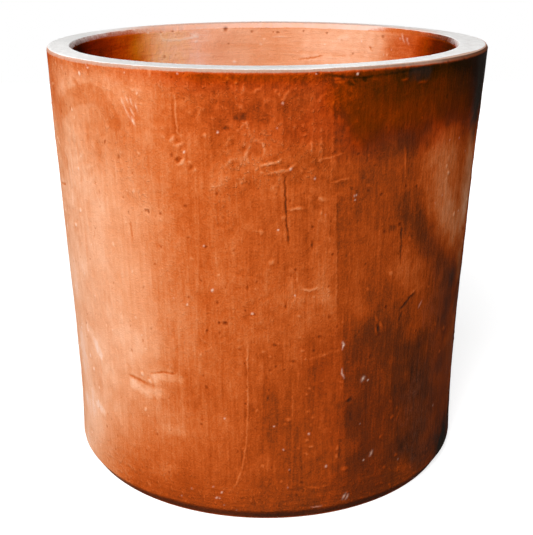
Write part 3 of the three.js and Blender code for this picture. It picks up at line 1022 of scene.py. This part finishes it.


# Wide patches on the wall, by the value that they change: some staining and pale patches, and on the right
# side painted shadow, painted shade and painted pools of light. Each is how much it adds to the value, the
# width in millimetres, how soft the edge is from 0 to 1, and the pixels of the path.
PATCHES_AND_PAINTED_LIGHT = {
    "paleness": {
        # Painted shadow under the rim on the right.
        "shade_under_rim": (-0.26, 74, 0.45, ((382, 112), (405, 106), (430, 92), (466, 80))),
        "damp_left_edge": (-0.24, 34, 0.8, ((56, 96), (62, 150))),
        "pale_left_edge": (0.16, 40, 0.9, ((72, 270), (80, 335), (88, 380), (98, 430))),
        "pale_low_left": (0.14, 44, 0.9, ((86, 345), (112, 356), (134, 352))),
        "damp_upper_left": (-0.10, 50, 0.9, ((100, 146), (150, 156), (200, 158))),
        # The next three are painted pools of light on the right side.
        "lit_patch_right": (0.58, 44, 0.9, ((444, 155), (440, 186), (454, 226))),
        "lit_patch_right_edge": (0.60, 32, 0.9, ((475, 118), (471, 150), (467, 200))),
        "lit_patch_right_low": (0.30, 28, 0.8, ((404, 258), (411, 282))),
        # The next four are painted shadow and painted shade on the right side.
        "shadow_band": (-0.22, 24, 0.9, ((408, 205), (426, 236), (446, 264), (454, 292))),
        "shade_low_right": (-0.28, 78, 0.6, ((366, 352), (384, 420), (374, 474))),
        "shade_far_right": (-0.20, 60, 0.8, ((446, 286), (434, 340), (430, 400), (416, 440))),
        "shade_right_low": (-0.26, 34, 0.9, ((416, 356), (417, 400), (412, 440))),
        "arch_edge": (
            -0.16, 17, 0.18,
            ((62, 110), (70, 99), (80, 94), (90, 93), (99, 97), (106, 107), (114, 122)),
        ),
        "arch_body": (-0.10, 52, 0.9, ((80, 108), (96, 118), (106, 140))),
        "arch_dust": (
            0.12, 11, 0.9,
            ((56, 92), (66, 83), (79, 77), (91, 75), (104, 79), (114, 88), (122, 99)),
        ),
        # Painted shade on the right side.
        "shade_right_middle": (-0.16, 44, 0.9, ((398, 318), (408, 350), (404, 380))),
        "pale_by_edge": (0.16, 26, 0.9, ((350, 312), (350, 392))),
        "damp_by_edge": (-0.12, 22, 0.8, ((350, 425), (352, 452))),
        "damp_left_upper": (-0.08, 80, 1.0, ((100, 130), (132, 150), (142, 220))),
        "damp_right_fold": (-0.24, 20, 0.9, ((411, 141), (428, 136))),
        "pale_right_fold": (0.15, 24, 0.9, ((388, 112), (432, 112))),
        # A painted pool of light at the right edge.
        "lit_patch_right_end": (0.34, 24, 0.9, ((464, 200), (463, 232), (459, 268))),
        "pale_left": (0.10, 54, 1.0, ((152, 232), (141, 290), (146, 348))),
        "pale_upper": (0.18, 30, 0.8, ((192, 148), (206, 180), (236, 166))),
        "pale_loop": (0.14, 22, 0.8, ((252, 140), (256, 158))),
        "damp_upper": (-0.14, 24, 0.7, ((220, 114), (258, 113))),
        # Painted shade right below the lip.
        "shade_under_lip": (-0.08, 14, 0.6, ((200, 80), (262, 80))),
        "pale_band": (0.16, 15, 0.5, ((323, 190), (323, 295))),
        "pale_middle": (0.12, 26, 0.8, ((274, 293), (318, 298))),
        "smear_left": (0.26, 12, 0.7, ((89, 329), (95, 341), (100, 353))),
        "smear_dent": (0.30, 9, 0.8, ((134, 384), (143, 391), (160, 394))),
        "smear_crescent": (0.26, 9, 0.8, ((154, 378), (166, 377), (180, 379))),
        "smear_low_left": (0.24, 8, 0.8, ((98, 404), (104, 411))),
        "smear_foot_left": (0.18, 10, 0.9, ((165, 428), (182, 431))),
        "smear_foot": (0.16, 10, 0.9, ((154, 470), (175, 468))),
        "damp_low": (-0.16, 60, 0.9, ((268, 398), (292, 440))),
        "damp_low_left": (-0.16, 34, 0.8, ((184, 385), (206, 396))),
        "damp_middle": (-0.12, 26, 0.8, ((312, 352), (312, 392))),
        "damp_left_band": (-0.10, 30, 0.8, ((176, 240), (190, 290))),
    },
    "soot": {
        # The next four are painted shade on the right side and at its edges, and a painted shadow band; the
        # two after them are painted shade right below the lip.
        "shade_right": (0.52, 70, 0.9, ((459, 276), (455, 304), (450, 340), (445, 380), (437, 440))),
        "shade_right_edge": (0.62, 50, 0.9, ((462, 290), (457, 330), (452, 378), (449, 420), (441, 476))),
        "shade_corner": (0.95, 46, 0.9, ((484, 62), (481, 84), (478, 104))),
        "shadow_band_dark": (0.30, 40, 0.9, ((428, 242), (448, 270), (440, 330), (424, 400))),
        "lip_shade": (0.55, 13, 0.8, ((414, 72.5), (428, 70.8))),
        "lip_shade_left": (0.20, 5, 0.8, ((390, 72.5), (404, 71.5))),
    },
    "lip": {
        # Painted shade: a dark film over the shaded lower right.
        "shade_film_right": (0.26, 74, 0.95, ((446, 286), (436, 340), (428, 400), (418, 448))),
    },
    "deep": {
        # The deep orange of the painted shade on the lower right.
        "deep_low_right": (0.18, 74, 0.8, ((352, 372), (368, 420), (362, 470))),
    },
}
PATCH_RAG, PATCH_CELL_SHARE = 0.26, 0.45


def add_patch(rings, name, amount, width, soft, pixels):
    middle, points, reach = path_on(on_wall, pixels)
    found = rings.window(*middle, reach + width, reach + width)
    if found is None:
        return
    where, across, along = found
    cells = [place[where] / (PATCH_CELL_SHARE * width) for place in rings.place]
    ragged = PATCH_RAG * width * soft * cloud(tone_noise, *cells, 3)
    gap = gap_to_path(points, across, along)[0] + ragged
    amount_here = amount * (1 - smooth_step(width / 2 * (1 - soft), width / 2 * (1 + soft), gap))
    rings.value[name][where] += amount_here * rings.wall[where[0], 0]


def photographed_patches(rings):
    for name, named_patches in PATCHES_AND_PAINTED_LIGHT.items():
        for patch_entry in named_patches.values():
            add_patch(rings, name, *patch_entry)


# Flats of the scraper with one sharp edge, drawn darker than the clay beside them as painted shade on the
# flat: the width in millimetres, which side of the edge the flat lies on, how soft the edge is in
# millimetres, the depth, the change of paleness and the pixels of the edge.
FACETS = {
    "right_upper": (26, 1, 0.8, -0.25, -0.16, ((334, 84), (333.4, 158))),
    "right_middle": (30, 1, 0.8, -0.3, -0.12, ((336.8, 186), (337.4, 320))),
    "right_lower": (34, 1, 2.6, -0.2, -0.14, ((342, 312), (345, 440))),
    "middle": (16, -1, 0.8, -0.15, -0.08, ((308.6, 186), (308.4, 300))),
    "middle_lower": (18, 1, 0.8, -0.15, -0.08, ((262.4, 372), (261.6, 470))),
    "left": (20, 1, 0.8, -0.15, -0.07, ((199, 190), (199.6, 300))),
    "right_far": (22, 1, 1.2, -0.2, -0.10, ((395, 330), (391, 440))),
    "left_lower": (22, -1, 0.8, -0.15, -0.07, ((176, 300), (180, 420))),
}
FACET_MARGIN = 8


def photographed_facets(rings):
    for width, side, soft, depth, pale, pixels in FACETS.values():
        middle, points, reach = path_on(on_wall, pixels)
        found = rings.window(*middle, width + FACET_MARGIN, reach + FACET_MARGIN)
        if found is None:
            continue
        where, across, along = found
        top, bottom = points
        share = (along - top[1]) / (bottom[1] - top[1])
        across = side * (across - top[0] - (bottom[0] - top[0]) * np.clip(share, 0, 1))
        flat = smooth_step(-soft, soft, across + rings.ragged[0][where]) * (1 - smooth_step(0, width, across))
        ends = smooth_step(-0.05, 0.2, share) * (1 - smooth_step(0.8, 1.05, share))
        rings.relief[where] += depth * flat * ends
        rings.value["paleness"][where] += pale * flat * ends


# Long strokes of the scraper, which leave flats with soft edges up the wall.
STROKE_COUNT = 110
STROKE_SEED = 21
STROKE_EDGE = 0.7


def scraper_strokes(rings):
    draw = np.random.default_rng(STROKE_SEED)
    for _ in range(STROKE_COUNT):
        bearing = draw.uniform(-math.pi, math.pi)
        width, tall = draw.uniform(12, 46), draw.uniform(60, 220)
        arc = draw.uniform(WALL_START, WALL_END)
        lean = draw.normal(0, 0.03)
        depth, pale = -draw.uniform(0.05, 0.18), draw.uniform(-0.035, 0.035)
        side = draw.choice((-1, 1))
        found = rings.window(bearing, arc, width, tall / 2)
        if found is None:
            continue
        where, across, along = found
        across = side * (across - lean * along)
        flat = smooth_step(-width / 2 - STROKE_EDGE, -width / 2 + STROKE_EDGE, across)
        flat = flat * (1 - smooth_step(-width / 2, width / 2, across))
        ends = 1 - smooth_step(0.35, 1.0, np.abs(along) / (tall / 2))
        rings.relief[where] += depth * flat * ends * rings.wall[where[0], 0]
        rings.value["paleness"][where] += pale * flat * ends * rings.wall[where[0], 0]


# Small faults that lie all over the pot: pits, crumbs, nicks and lime flecks. Smears of the hand lie where
# the photograph doesn't reach.
PIT_COUNT = 520
CRUMB_COUNT = 520
NICK_COUNT = 240
FLECK_COUNT = 45
SMEAR_COUNT = 130
FAULT_SEED = 22
FRONT_REACH = 1.15


def anywhere(draw):
    return draw.uniform(-math.pi, math.pi), draw.uniform(WALL_START, FINE_END)


def speck(draw, size, tall_shares, most_lean):
    """A spot of a drawn height, as a share of its size, and a drawn lean."""
    return spot(size, size * draw.uniform(*tall_shares), draw.uniform(-most_lean, most_lean))


# Pits are drawn dark, painted shade in them; crumbs paler, a painted highlight; smears paler where raised and
# darker where sunk, painted highlight and painted shade.
def scattered_faults(rings):
    draw = np.random.default_rng(FAULT_SEED)
    for _ in range(PIT_COUNT):
        size = 1.0 + 1.1 * draw.random() ** 3
        shape = speck(draw, size, (1, 2), 30)
        press(rings, anywhere(draw), shape, 3 * size, -0.25 * size, {"pit": draw.uniform(0.05, 0.38)})
    for _ in range(CRUMB_COUNT):
        size = 1.3 + 2.4 * draw.random() ** 2
        shape = speck(draw, size, (0.6, 1.8), 90)
        press(rings, anywhere(draw), shape, 3 * size, 0.14 * size, {"paleness": 0.10})
    for _ in range(NICK_COUNT):
        length, turn = draw.uniform(3, 14), draw.normal(0, 0.6)
        way = (length / 2 * math.sin(turn), length / 2 * math.cos(turn))
        shape = line((way, (-way[0], -way[1])), draw.uniform(1.0, 1.6))
        place, height = anywhere(draw), draw.uniform(-0.3, 0.25)
        press(rings, place, shape, length, height, {"paleness": draw.uniform(-0.1, 0.15)})
    for _ in range(FLECK_COUNT):
        size = draw.uniform(0.9, 1.7)
        shape = speck(draw, size, (0.8, 1.8), 90)
        press(rings, anywhere(draw), shape, 3 * size, 0.1, {"lime": draw.uniform(0.15, 0.5)})
    for _ in range(SMEAR_COUNT):
        bearing = draw.uniform(FRONT_REACH, 2 * math.pi - FRONT_REACH)
        arc = draw.uniform(WALL_START, WALL_END)
        length, turn, bend = draw.uniform(5, 22), draw.uniform(-1.5, 1.5), draw.uniform(-5, 5)
        way = np.array((math.sin(turn), math.cos(turn))) * length / 2
        points = (-way, np.array((way[1], -way[0])) * bend / length, way)
        height = draw.uniform(0.2, 0.6) * draw.choice((-1, 1, 1))
        shape = line(points, draw.uniform(1.6, 3.0))
        press(rings, (bearing, arc), shape, length, height, {"paleness": 0.45 * height})


# Chips and dents along both edges of the rim.
CHIP_COUNT = 150
CHIP_SEED = 23


def rim_chips(rings):
    draw = np.random.default_rng(CHIP_SEED)
    for _ in range(CHIP_COUNT):
        edge = draw.choice((WALL_END, RIM_START, RIM_END, BORE_START))
        place = draw.uniform(-math.pi, math.pi), edge + draw.normal(0, 0.5)
        size = 1.5 + 4.5 * draw.random() ** 3
        shape = speck(draw, size, (0.3, 0.7), 10)
        press(rings, place, shape, 2 * size, -draw.uniform(0.1, 0.5), {"bloom": -draw.uniform(0, 0.5)})


# Raised places are drawn paler, as painted highlight, and low ones darker, as painted shade.
RELIEF_LIGHT = 0.85
RELIEF_LIGHT_LIMIT = 0.25
RELIEF_LIGHT_REACH = 4


def softened(values, reach):
    """Values averaged over their neighbours, round the pot and along the outline."""
    steps = range(-reach, reach + 1)
    values = sum(np.roll(values, step, axis=1) for step in steps) / len(steps)
    rows = np.arange(len(values))
    return sum(values[np.clip(rows + step, 0, len(rows) - 1)] for step in steps) / len(steps)


def paint_relief_light(rings):
    proud = np.clip(rings.relief - softened(rings.relief, RELIEF_LIGHT_REACH), -RELIEF_LIGHT_LIMIT, RELIEF_LIGHT_LIMIT)
    rings.value["paleness"] += RELIEF_LIGHT * proud


def build_skin():
    """All rings of the skin, in groups of equal columns, in order along the outline."""
    arcs = ring_arcs()
    counts = np.array([columns_at(arc) for arc in arcs])
    groups = []
    for count, run in itertools.groupby(range(len(arcs)), key=lambda i: counts[i]):
        groups.append(Rings(arcs[list(run)], count))
    for rings in groups:
        shape_all_over(rings)
        colour_all_over(rings)
        scraper_strokes(rings)
        scattered_faults(rings)
        rim_chips(rings)
        photographed_patches(rings)
        photographed_facets(rings)
        photographed_marks(rings)
        paint_relief_light(rings)
    return groups


# The map for baking the surface: strips for the wall and the bore, and discs for the two floors.
MAP_SIZE = 1430.0
STRIP_RADIUS = 224.0
STRIP_MARGIN = 8.0
DRAIN_STRIP_START = 900


def map_place(arc, share, patch):
    """A corner's place on the map, in millimetres on the map's square."""
    second = FINE_END - UNDERSIDE_END + 2 * STRIP_MARGIN
    third = second + (COVE_END - FINE_END) + 2 * STRIP_MARGIN
    turn = share * 2 * math.pi
    if patch == "outer":
        return turn * STRIP_RADIUS, arc - UNDERSIDE_END
    if patch == "bore":
        return turn * BORE_END_RADIUS, arc - FINE_END + second
    if patch == "drain":
        return turn * DRAIN_RADIUS + DRAIN_STRIP_START, arc - FLOOR_END + third
    middle = FOOT_RADIUS if patch == "underside" else 3 * FOOT_RADIUS
    radius, bearing = outline.at(arc, outline.radius), crowded(share)
    return middle + radius * np.sin(bearing), third + FOOT_RADIUS - radius * np.cos(bearing)


def patch_of(arc):
    if arc < UNDERSIDE_END:
        return "underside"
    if arc < FINE_END:
        return "outer"
    if arc < COVE_END:
        return "bore"
    return "floor" if arc < FLOOR_END else "drain"


# The faces of one step between two rings, by whether the second ring has as many columns as the first,
# twice as many or half as many. A corner is its ring, 0 or 1, and its column, in steps of the coarser ring.
EQUAL_STEP = (((0, 0), (0, 1), (1, 1), (1, 0)),)
FINER_STEP = (((0, 0), (1, 0.5), (1, 0)), ((0, 0), (0, 1), (1, 0.5)), ((0, 1), (1, 1), (1, 0.5)))
COARSER_STEP = (((0, 0), (0, 0.5), (1, 0)), ((0, 0.5), (1, 1), (1, 0)), ((0, 0.5), (0, 1), (1, 1)))


def build_faces(groups):
    """The faces between neighbouring rings, and each face corner's place on the map."""
    rings = []
    start = 0
    for group in groups:
        for arc in group.arcs:
            rings.append((arc, len(group.bearings), start))
            start += len(group.bearings)
    closing = (outline.length, *rings[0][1:])
    faces, places = [], []
    for pair in zip(rings, [*rings[1:], closing]):
        (arc, count, _), (next_arc, next_count, _) = pair
        fewer = min(count, next_count)
        patch = patch_of((arc + next_arc) / 2)
        step = EQUAL_STEP if next_count == count else FINER_STEP if next_count > count else COARSER_STEP
        for shape in step:
            corners, spots = [], []
            for level, offset in shape:
                own_arc, own_count, first = pair[level]
                column = np.round((np.arange(fewer) + offset) * (own_count // fewer)).astype(int)
                corners.append(first + column % own_count)
                spot_arc = np.full(fewer, own_arc)
                spots.append(np.stack(map_place(spot_arc, column / own_count, patch), axis=-1))
            faces.append(np.stack(corners, axis=1))
            places.append(np.stack(spots, axis=1))
    return faces, places


def build_mesh(groups):
    """The skin's mesh, with its map and its surface values."""
    points = np.concatenate([group.points().reshape(-1, 3) for group in groups]) * MM
    faces, places = build_faces(groups)
    corner_index = np.concatenate([block.reshape(-1) for block in faces])
    sizes = np.concatenate([np.full(len(block), block.shape[1]) for block in faces])
    mesh = bpy.data.meshes.new("pot_clay")
    mesh.vertices.add(len(points))
    mesh.vertices.foreach_set("co", points.reshape(-1).astype(np.float32))
    mesh.loops.add(len(corner_index))
    mesh.loops.foreach_set("vertex_index", corner_index.astype(np.int32))
    mesh.polygons.add(len(sizes))
    mesh.polygons.foreach_set("loop_start", (np.cumsum(sizes) - sizes).astype(np.int32))
    mesh.polygons.foreach_set("loop_total", sizes.astype(np.int32))
    mesh.polygons.foreach_set("use_smooth", np.ones(len(sizes), bool))
    mesh.update(calc_edges=True)
    mesh.validate()
    layer = mesh.uv_layers.new(name="OFBake")
    flat = np.concatenate([block.reshape(-1, 2) for block in places])
    layer.data.foreach_set("uv", ((flat + STRIP_MARGIN) / MAP_SIZE).reshape(-1).astype(np.float32))
    for name in Rings.VALUES:
        values = np.concatenate([group.value[name].reshape(-1) for group in groups])
        attribute = mesh.attributes.new(name, "FLOAT", "POINT")
        attribute.data.foreach_set("value", values.astype(np.float32))
    return mesh


class Nodes:
    """Short calls that add shader nodes to a material or world."""

    def __init__(self, owner):
        owner.use_nodes = True
        self.tree = owner.node_tree
        self.tree.nodes.clear()

    def feed(self, socket, value):
        """Links a socket to another node's output, or sets its own value."""
        if isinstance(value, bpy.types.NodeSocket):
            self.tree.links.new(value, socket)
        else:
            socket.default_value = value

    def add(self, kind, inputs=None, **settings):
        node = self.tree.nodes.new(kind)
        for name, value in settings.items():
            setattr(node, name, value)
        for name, value in (inputs or {}).items():
            self.feed(node.inputs[name], value)
        return node

    def value(self, name):
        return self.add("ShaderNodeAttribute", attribute_name=name).outputs["Fac"]

    def math(self, operation, *values, clamp=False):
        inputs = dict(enumerate(values))
        return self.add("ShaderNodeMath", inputs, operation=operation, use_clamp=clamp).outputs[0]

    def times(self, *values, clamp=False):
        return self.math("MULTIPLY", *values, clamp=clamp)

    def total(self, first, *others):
        for other in others:
            first = self.math("ADD", first, other)
        return first

    def noise(self, scale, detail, roughness=0.55):
        """Noise over the pot, with its own scale per metre along each axis."""
        place = self.add("ShaderNodeTexCoord").outputs["Object"]
        stretch = self.add("ShaderNodeMapping", {"Vector": place, "Scale": scale}).outputs[0]
        inputs = {"Vector": stretch, "Scale": 1.0, "Detail": detail, "Roughness": roughness}
        return self.add("ShaderNodeTexNoise", inputs).outputs["Fac"]

    def seen(self):
        """1 where the camera sees a surface, directly or by reflection or through something clear."""
        path = self.add("ShaderNodeLightPath").outputs
        seen = self.math("ADD", path["Is Camera Ray"], path["Is Glossy Ray"], clamp=True)
        return self.math("ADD", seen, path["Is Transmission Ray"], clamp=True)

    def about_half(self, texture, size):
        """A texture of 0 to 1 as a change of that size to either side of nothing."""
        return self.times(self.math("SUBTRACT", texture, 0.5), size)

    def span(self, value, low, high, to_low=0.0, to_high=1.0):
        inputs = {"Value": value, "From Min": low, "From Max": high, "To Min": to_low, "To Max": to_high}
        return self.add("ShaderNodeMapRange", inputs, interpolation_type="SMOOTHSTEP").outputs[0]

    def blend(self, amount, low, high, kind="MIX"):
        inputs = {0: amount, 6: low, 7: high}
        return self.add("ShaderNodeMix", inputs, data_type="RGBA", blend_type=kind).outputs[2]

    def ramp(self, value, stops):
        node = self.add("ShaderNodeValToRGB", {"Fac": value})
        elements = node.color_ramp.elements
        while len(elements) < len(stops):
            elements.new(0.5)
        for element, (place, color) in zip(elements, stops):
            element.position = place
            element.color = (*color, 1)
        return node.outputs["Color"]

    def finish(self, kind, shader):
        """Connects the last shader to an output of the owner's kind."""
        self.tree.links.new(shader.outputs[0], self.add(kind).inputs["Surface"])


# The clay's colours by paleness, from dark, which also paints shade, to pale, which also paints light.
CLAY_TONES = (
    (-1.4, (0.016, 0.008, 0.005)),
    (-1.0, (0.060, 0.018, 0.008)),
    (-0.6, (0.16, 0.030, 0.006)),
    (-0.25, (0.36, 0.055, 0.006)),
    (0.0, (0.48, 0.088, 0.014)),
    (0.2, (0.55, 0.128, 0.030)),
    (0.45, (0.63, 0.20, 0.072)),
    (0.7, (0.73, 0.30, 0.145)),
    (1.0, (0.85, 0.45, 0.28)),
    (1.4, (0.92, 0.70, 0.60)),
)
# The dark drawn into pits is painted shade in those small hollows.
PIT_SHADE_COLOR = (0.13, 0.016, 0.003, 1)
LIME_COLOR = (0.86, 0.66, 0.52, 1)
BLOOM_COLOR = (0.92, 0.91, 0.895, 1)
BLOOM_WARM = (0.85, 0.44, 0.30, 1)
BLOOM_SHADE = (0.55, 0.51, 0.50, 1)
LIP_PALE = (0.60, 0.40, 0.31, 1)
LIP_DARK = (0.11, 0.055, 0.034, 1)
# The sooty colour also paints shade: on the right side, right below the lip, on the inner lip and on the
# foot's edge.
SOOT_AND_SHADE_COLOR = (0.024, 0.018, 0.014, 1)
# How the clay is tinted, by its depth from 0 to 1: its deep orange, partly the colour of painted shade.
DEEP_TINTS = (
    (0.0, (1, 1, 1)),
    (0.35, (1, 0.80, 0.72)),
    (0.5, (1, 0.70, 0.36)),
    (0.7, (1, 0.76, 0.06)),
    (1.0, (1, 0.44, 0.04)),
)


# The clay's fine textures: the scale per metre along each axis, the detail and the roughness.
TEXTURES = {
    "comb": ((430, 430, 34), 2.0),
    "level": ((40, 40, 420), 2.0),
    "mottle": ((150, 150, 110), 3.0),
    "cloudy": ((30, 30, 22), 5.0, 0.6),
    "grain": ((640, 640, 640), 3.0, 0.6),
    "crumb": ((300, 300, 230), 3.0, 0.6),
}
# How far each one changes the paleness, and its share of the bumps.
TONE_SIZES = {"grain": 0.64, "combed": 0.46, "mottle": 0.26, "cloudy": 0.22}
BUMP_SIZES = {"combed": 0.7, "grain": 0.9, "mottle": 1.6, "crumbs": 0.9}


def clay_textures(nodes):
    """The fine textures, with the comb marks where the wall is scraped upwards and level ones elsewhere."""
    texture = {name: nodes.noise(*settings) for name, settings in TEXTURES.items()}
    inputs = {0: nodes.value("upright"), 2: texture["level"], 3: texture["comb"]}
    texture["combed"] = nodes.add("ShaderNodeMix", inputs).outputs[0]
    texture["crumbs"] = nodes.times(nodes.span(texture["crumb"], 0.56, 0.62), nodes.value("crumbly"))
    return texture


def bare_clay(nodes, texture):
    """The colour of the clay, from its paleness, which carries painted light and shade as well as its own
    tone, and from its depth of orange.
    """
    paleness = nodes.value("paleness")
    fine = nodes.total(*(nodes.about_half(texture[name], size) for name, size in TONE_SIZES.items()))
    fine = nodes.times(fine, nodes.math("SUBTRACT", 1.0, nodes.value("even")))
    # Crumbs are drawn paler on top, a painted highlight.
    fine = nodes.total(fine, nodes.times(texture["crumbs"], 0.20))
    fine = nodes.times(fine, nodes.span(paleness, 0.15, 0.8, 1.0, 0.32))
    low, high = CLAY_TONES[0][0], CLAY_TONES[-1][0]
    stops = [((place - low) / (high - low), color) for place, color in CLAY_TONES]
    above = nodes.math("SUBTRACT", nodes.total(paleness, fine), low)
    color = nodes.ramp(nodes.math("DIVIDE", above, high - low, clamp=True), stops)
    deep = nodes.total(nodes.value("deep"), nodes.about_half(texture["mottle"], 0.2))
    return nodes.blend(1.0, color, nodes.ramp(deep, DEEP_TINTS), "MULTIPLY")


def covered_clay(nodes, texture, color):
    """The clay under its lip wash, bloom, lime, sooty dirt and painted shade, and dark pits, which are
    painted shade in them.
    """
    mottle, grain = texture["mottle"], texture["grain"]
    worn = nodes.total(nodes.value("lip"), nodes.about_half(mottle, 0.4), nodes.about_half(grain, 0.3))
    washed = nodes.blend(nodes.span(nodes.value("chalk"), 0.0, 1.0), LIP_DARK, LIP_PALE)
    color = nodes.blend(nodes.span(worn, 0.10, 1.0), color, washed)
    chalk = nodes.total(nodes.value("chalk"), nodes.about_half(texture["cloudy"], 0.5))
    bloom = nodes.blend(nodes.span(chalk, 0.0, 1.0), BLOOM_WARM, BLOOM_COLOR)
    bloom = nodes.blend(nodes.span(mottle, 0.62, 0.38, 0.0, 0.2), bloom, BLOOM_SHADE)
    cover = nodes.total(nodes.value("bloom"), nodes.about_half(grain, 0.5))
    color = nodes.blend(nodes.span(cover, 0.10, 0.75), color, bloom)
    lime = nodes.times(nodes.value("lime"), nodes.span(grain, 0.25, 0.6, 0.55, 1.0), clamp=True)
    color = nodes.blend(lime, color, LIME_COLOR)
    soot = nodes.total(nodes.value("soot"), nodes.about_half(mottle, 0.16))
    color = nodes.blend(nodes.span(soot, 0.05, 1.0), color, SOOT_AND_SHADE_COLOR)
    return nodes.blend(nodes.times(nodes.value("pit"), 1.0, clamp=True), color, PIT_SHADE_COLOR)


def clay_material():
    material = bpy.data.materials.new("fired_clay_scraped")
    nodes = Nodes(material)
    texture = clay_textures(nodes)
    height = nodes.total(*(nodes.times(texture[name], size) for name, size in BUMP_SIZES.items()))
    bump = nodes.add("ShaderNodeBump", {"Height": height, "Strength": 0.8, "Distance": 0.0009}).outputs[0]
    inputs = {
        "Base Color": covered_clay(nodes, texture, bare_clay(nodes, texture)),
        "Roughness": nodes.span(texture["cloudy"], 0.3, 0.7, 0.72, 0.9),
        "Normal": bump,
        "Specular IOR Level": 0.005,
    }
    nodes.finish("ShaderNodeOutputMaterial", nodes.add("ShaderNodeBsdfPrincipled", inputs))
    return material


def new_object(name, data):
    made = bpy.data.objects.new(name, data)
    bpy.context.scene.collection.objects.link(made)
    return made


def make_pot():
    mesh = build_mesh(build_skin())
    mesh.materials.append(clay_material())
    pot = new_object("pot_clay", mesh)
    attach(pot, "root")
    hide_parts(POT_NODE)


FLOOR_HALF = 2.7
FLOOR_SEEN = (0.50, 0.50, 0.50, 1)
FLOOR_MOTTLE = (0.45, 0.45, 0.45, 1)
FLOOR_BOUNCE = (0.30, 0.29, 0.28, 1)
WHITE = (1, 1, 1, 1)
# The floor's own light where the camera sees it: less near the pot, so that its shadow shows, and full
# further out, where the floor turns into the white background.
LIFT_NEAR, LIFT_FAR = 0.77, 1.1
LIFT_START, LIFT_END = 0.45, 1.3


def floor_material():
    """A pale floor. Where the camera sees it, it is lifted to white, and it keeps the shadow."""
    material = bpy.data.materials.new("studio_floor")
    nodes = Nodes(material)
    mottle = nodes.noise((3, 3, 3), 2.0)
    pale = nodes.blend(nodes.span(mottle, 0.3, 0.7, 0.0, 0.05), FLOOR_SEEN, FLOOR_MOTTLE)
    color = nodes.blend(nodes.seen(), FLOOR_BOUNCE, pale)
    diffuse = nodes.add("ShaderNodeBsdfDiffuse", {"Color": color}).outputs[0]
    place = nodes.add("ShaderNodeTexCoord").outputs["Object"]
    away = nodes.add("ShaderNodeVectorMath", {0: place}, operation="LENGTH").outputs["Value"]
    strength = nodes.times(nodes.seen(), nodes.span(away, LIFT_START, LIFT_END, LIFT_NEAR, LIFT_FAR))
    lift = nodes.add("ShaderNodeEmission", {"Color": WHITE, "Strength": strength}).outputs[0]
    nodes.finish("ShaderNodeOutputMaterial", nodes.add("ShaderNodeAddShader", {0: diffuse, 1: lift}))
    return material


def make_floor():
    mesh = bpy.data.meshes.new("floor")
    corners = ((-1, -1), (1, -1), (1, 1), (-1, 1))
    points = [(FLOOR_HALF * across, FLOOR_HALF * along, 0) for across, along in corners]
    mesh.from_pydata(points, [], [(0, 1, 2, 3)])
    mesh.materials.append(floor_material())
    new_object("floor", mesh)


WORLD_LIGHT = 0.14


def make_world():
    """Plain soft light from all round, with a white background where the camera sees it."""
    world = bpy.data.worlds.new("studio")
    bpy.context.scene.world = world
    nodes = Nodes(world)
    strength = nodes.span(nodes.seen(), 0.0, 1.0, WORLD_LIGHT, 1.0)
    background = nodes.add("ShaderNodeBackground", {"Color": WHITE, "Strength": strength})
    nodes.finish("ShaderNodeOutputWorld", background)


# The lamps, which are round: bearing in degrees, how steeply they shine down in degrees, distance and width
# in metres, and how brightly a white card that faced the lamp would show.
LAMPS = {
    "key": (-15, 38, 3.2, 1.0, 0.92),
    "side": (-75, 26, 3.2, 1.6, 0.40),
    "front_fill": (10, 30, 4.0, 2.5, 0.18),
    "right_fill": (75, 20, 3.6, 2.5, 0.03),
}
LAMP_AIM = (0.0, 0.0, 0.24)


def make_lamps():
    for name, (bearing, rise, distance, side, level) in LAMPS.items():
        light = bpy.data.lights.new(name, "AREA")
        light.shape = "DISK"
        light.size = side
        light.energy = level * math.pi**2 * distance**2
        turn, lift = math.radians(bearing), math.radians(rise)
        flat = math.cos(lift) * distance
        way = np.array((math.sin(turn) * flat, -math.cos(turn) * flat, math.sin(lift) * distance))
        new_object(name, light).matrix_world = facing(way + LAMP_AIM, -way)


def facing(place, way):
    """A place and direction as a matrix for a lamp that shines along its own -Z."""
    back = -np.array(way) / np.linalg.norm(way)
    right = np.cross((0, 0, 1), back)
    right /= np.linalg.norm(right)
    return matrix_of(right, np.cross(back, right), back, place)


def matrix_of(right, up, back, place):
    columns = np.column_stack((right, up, back, place))
    return Matrix([*columns.tolist(), [0, 0, 0, 1]])


def make_camera():
    data = bpy.data.cameras.new("camera")
    data.sensor_fit = "AUTO"
    data.sensor_width = SENSOR_WIDTH
    data.lens = FOCAL_PIXELS * SENSOR_WIDTH / max(PHOTO_WIDTH, PHOTO_HEIGHT)
    data.clip_end = 100
    camera = new_object("camera", data)
    camera.matrix_world = matrix_of(camera_right, camera_up, -camera_forward, CAMERA_PLACE * MM)
    bpy.context.scene.camera = camera


make_camera()
make_pot()
make_floor()
make_world()
make_lamps()
bpy.context.scene.view_settings.view_transform = "Standard"
